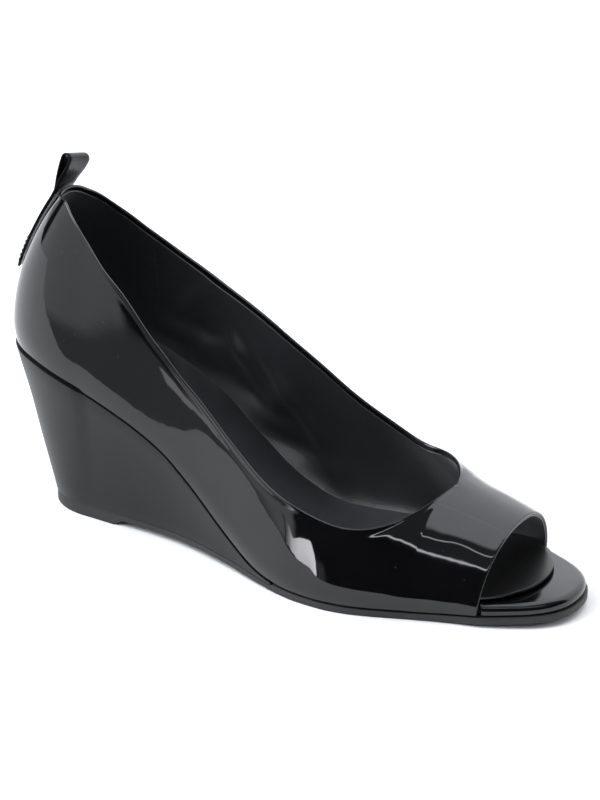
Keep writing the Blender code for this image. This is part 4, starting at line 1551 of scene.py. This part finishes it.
@dataclass
class Studio:
    """Pale floor, soft lights and the camera."""

    floor_size: float = 6.0
    table_front: tuple[float, float] = (0.130, -0.066)
    table_turn: float = math.radians(24.0)
    table_glow: float = 0.16
    table_height: float = 0.0002
    table_white: float = 0.84
    floor_white: float = 0.92
    gap_level: float = 0.03
    card_distance: float = -0.120
    card_glows: tuple[float, ...] = (14.0, 2.4)
    # Where along the shoe each card starts to shine, and over what length it comes to its full brightness
    card_fades: Table = ((0.034, 0.050), (-0.060, 0.020))
    # Outlines of the small bright cards in front of the shoe's joint and waist: along the shoe, up
    card_outlines: tuple[Table, ...] = (
        (
            (0.034, 0.022), (0.034, -0.006), (0.050, -0.004), (0.066, -0.012), (0.070, -0.044),
            (0.083, -0.044), (0.079, -0.012), (0.084, 0.018), (0.062, 0.010), (0.050, 0.021),
        ),
        (
            (-0.011, 0.043), (-0.004, 0.041), (-0.002, 0.034), (-0.006, 0.026), (-0.010, 0.024),
            (-0.013, 0.032),
        ),
    )
    card_tint: tuple[float, float, float] = (0.97, 0.96, 1.0)
    tint: tuple[float, float, float, float] = (0.965, 0.988, 1.035, 1.0)
    azimuth: float = math.radians(29.833)
    elevation: float = math.radians(25.0)
    roll: float = math.radians(-0.287)
    distance: float = 1.2988
    aim: tuple[float, float, float] = (0.0916, 0.0, 0.058)
    scale: float = 2.70
    centre_px: tuple[float, float] = (313.09, 406.81)
    frame_px: tuple[int, int] = (600, 800)
    glows: tuple[Glow, ...] = (
        Glow((-200.0, 200.0), (73.0, 100.0), 2.6),
        Glow((110.0, 200.0), (-2.0, 73.0), 1.35, 4.0, 0.018),
        Glow((-200.0, -150.0), (-2.0, 73.0), 1.35, 4.0, 0.018),
        Glow((-150.0, -101.0), (-35.0, 60.0), 0.80, 2.0),
        Glow((-86.0, -29.0), (-12.5, 62.0), 1.20, 2.5, 0.008),
        Glow((-86.0, -18.0), (-26.0, -12.5), 0.42, 2.5),
        Glow((-24.0, 110.0), (36.0, 73.0), 0.20, 2.0),
        Glow((-86.0, -26.0), (24.0, 64.0), 6.0, 4.0),
        Glow((-20.0, 60.0), (38.0, 40.0), 9.0, 0.8),
        Glow((-20.0, 40.0), (59.0, 61.0), 6.0, 0.8),
    )

    def make_camera(self) -> None:
        """Makes the camera at the photograph's viewing angle."""
        th, el = self.azimuth, self.elevation
        back = Vector((math.sin(th) * math.cos(el), -math.cos(th) * math.cos(el), math.sin(el)))
        right = Vector((math.cos(th), math.sin(th), 0.0))
        up = back.cross(right)
        across = right * math.cos(self.roll) - up * math.sin(self.roll)
        upward = right * math.sin(self.roll) + up * math.cos(self.roll)
        data = bpy.data.cameras.new("camera")
        data.sensor_fit = "VERTICAL"
        data.sensor_height = 36.0
        wide, tall = self.frame_px
        data.lens = self.scale * self.distance * 1000.0 * data.sensor_height / tall
        data.shift_x = (wide / 2.0 - self.centre_px[0]) / tall
        data.shift_y = -(tall / 2.0 - self.centre_px[1]) / tall
        camera = bpy.data.objects.new("camera", data)
        bpy.context.scene.collection.objects.link(camera)
        eye = Vector(self.aim) + back * self.distance
        rows = [(across[k], upward[k], back[k], eye[k]) for k in range(3)]
        camera.matrix_world = Matrix((*rows, (0.0, 0.0, 0.0, 1.0)))
        bpy.context.scene.camera = camera

    def make_plane(
        self, name: str, height: float, material: bpy.types.Material, place: Matrix,
    ) -> bpy.types.Object:
        """Makes a large level plane.

        Args:
            name: Its name.
            height: Its height.
            material: Its finish.
            place: Where it lies on its level.

        Returns:
            The new object.
        """
        bm = bmesh.new()
        bmesh.ops.create_grid(bm, x_segments=1, y_segments=1, size=self.floor_size / 2.0)
        bmesh.ops.transform(bm, matrix=place, verts=bm.verts)
        bmesh.ops.translate(bm, vec=(0.0, 0.0, height), verts=bm.verts)
        return self.stage(name, bm, material)

    def floor_finish(self, name: str, white: float, glow: float) -> bpy.types.Material:
        """White board, lit a little from below where it glows.

        Args:
            name: The material's name.
            white: How much of the light it gives back.
            glow: Its own brightness.

        Returns:
            The material.
        """
        material = bpy.data.materials.new(name)
        material.use_nodes = True
        shader = material.node_tree.nodes["Principled BSDF"]
        shader.inputs["Base Color"].default_value = (white, white, white, 1.0)
        shader.inputs["Roughness"].default_value = 0.9
        shader.inputs["Specular IOR Level"].default_value = 0.1
        shader.inputs["Emission Color"].default_value = (1.0, 1.0, 1.0, 1.0)
        shader.inputs["Emission Strength"].default_value = glow
        return material

    def make_floor(self) -> None:
        """Makes the white floor, and the table that the gloss mirrors, which ends in front of the shoe."""
        behind = Matrix.Translation((self.table_front[0], self.table_front[1], 0.0))
        behind = behind @ Matrix.Rotation(self.table_turn, 4, "Z")
        behind = behind @ Matrix.Translation((0.0, self.floor_size / 2.0, 0.0))
        finish = self.floor_finish("table_white", self.table_white, self.table_glow)
        self.hide_from_all_but_gloss(self.make_plane("table", self.table_height, finish, behind))
        finish = self.floor_finish("floor_white", self.floor_white, 0.0)
        floor = self.make_plane("floor", 0.0, finish, Matrix.Identity(4))
        floor.visible_glossy = False

    def make_card(self, name: str, outline: Table, fade: tuple[float, ...], glow: float) -> None:
        """Makes a small bright card that only the gloss mirrors.

        Args:
            name: The card's name.
            outline: Its corners: along the shoe, up.
            fade: Where it starts to shine, and over what length it comes to its brightness.
            glow: Its brightness.
        """
        material = bpy.data.materials.new(name)
        material.use_nodes = True
        shader = material.node_tree.nodes["Principled BSDF"]
        shader.inputs["Base Color"].default_value = (0.0, 0.0, 0.0, 1.0)
        shader.inputs["Specular IOR Level"].default_value = 0.0
        nodes = Nodes(material.node_tree)
        fading = nodes.add("ShaderNodeAttribute", attribute_name="fading").outputs["Color"]
        nodes.put(shader.inputs["Emission Color"], fading)
        shader.inputs["Emission Strength"].default_value = glow
        bm = bmesh.new()
        bm.faces.new([bm.verts.new((x, self.card_distance, z)) for x, z in outline])
        shade = bm.verts.layers.float_color.new("fading")
        for vert in bm.verts:
            share = smooth_step(vert.co.x, *fade)
            vert[shade] = (*(part * share for part in self.card_tint), 1.0)
        self.hide_from_all_but_gloss(self.stage(name, bm, material))

    def stage(self, name: str, bm: bmesh.types.BMesh, material: bpy.types.Material) -> bpy.types.Object:
        """Makes an object of the studio.

        Args:
            name: Its name.
            bm: Its mesh, freed here.
            material: Its finish.

        Returns:
            The new object.
        """
        made = new_object(name, bm, material)
        return made

    def hide_from_all_but_gloss(self, made: bpy.types.Object) -> None:
        """Leaves an object visible in mirrored light alone."""
        for ray in ("visible_camera", "visible_diffuse", "visible_shadow", "visible_transmission"):
            setattr(made, ray, False)

    def make_room(self) -> None:
        """Makes the lit room: white as the camera sees it, soft lights and dark gaps for all else."""
        world = bpy.data.worlds.new("studio")
        bpy.context.scene.world = world
        world.use_nodes = True
        nodes = Nodes(world.node_tree)
        x, y, z = nodes.split("ShaderNodeTexCoord", "Generated")
        degrees = 180.0 / math.pi
        azimuth = nodes.math("MULTIPLY", nodes.math("ARCTAN2", x, nodes.math("MULTIPLY", y, -1.0)), degrees)
        elevation = nodes.math("MULTIPLY", nodes.math("ARCSINE", z), degrees)
        light = self.gap_level
        for glow in self.glows:
            light = nodes.math("ADD", glow.add(nodes, azimuth, elevation), light)
        seen = nodes.add("ShaderNodeLightPath").outputs["Is Camera Ray"]
        strength = nodes.add("ShaderNodeMix", {0: seen, 2: light, 3: 1.0}, data_type="FLOAT")
        background = world.node_tree.nodes["Background"]
        nodes.put(background.inputs["Color"], nodes.mix(seen, self.tint, (1.0, 1.0, 1.0, 1.0)))
        nodes.put(background.inputs["Strength"], strength.outputs[0])

    def make(self) -> None:
        """Builds the studio."""
        self.make_camera()
        self.make_floor()
        for k, (outline, fade, glow) in enumerate(zip(self.card_outlines, self.card_fades, self.card_glows)):
            self.make_card(f"card_{k}", outline, fade, glow)
        self.make_room()
        bpy.context.scene.view_settings.view_transform = "Standard"


def main() -> None:
    """Builds the shoe and its studio in order."""
    logging.basicConfig(level=logging.INFO, format="%(message)s")
    Upper().make()
    Plates().make()
    PullLoop().make()
    Studio().make()


if __name__ == "__main__":
    main()
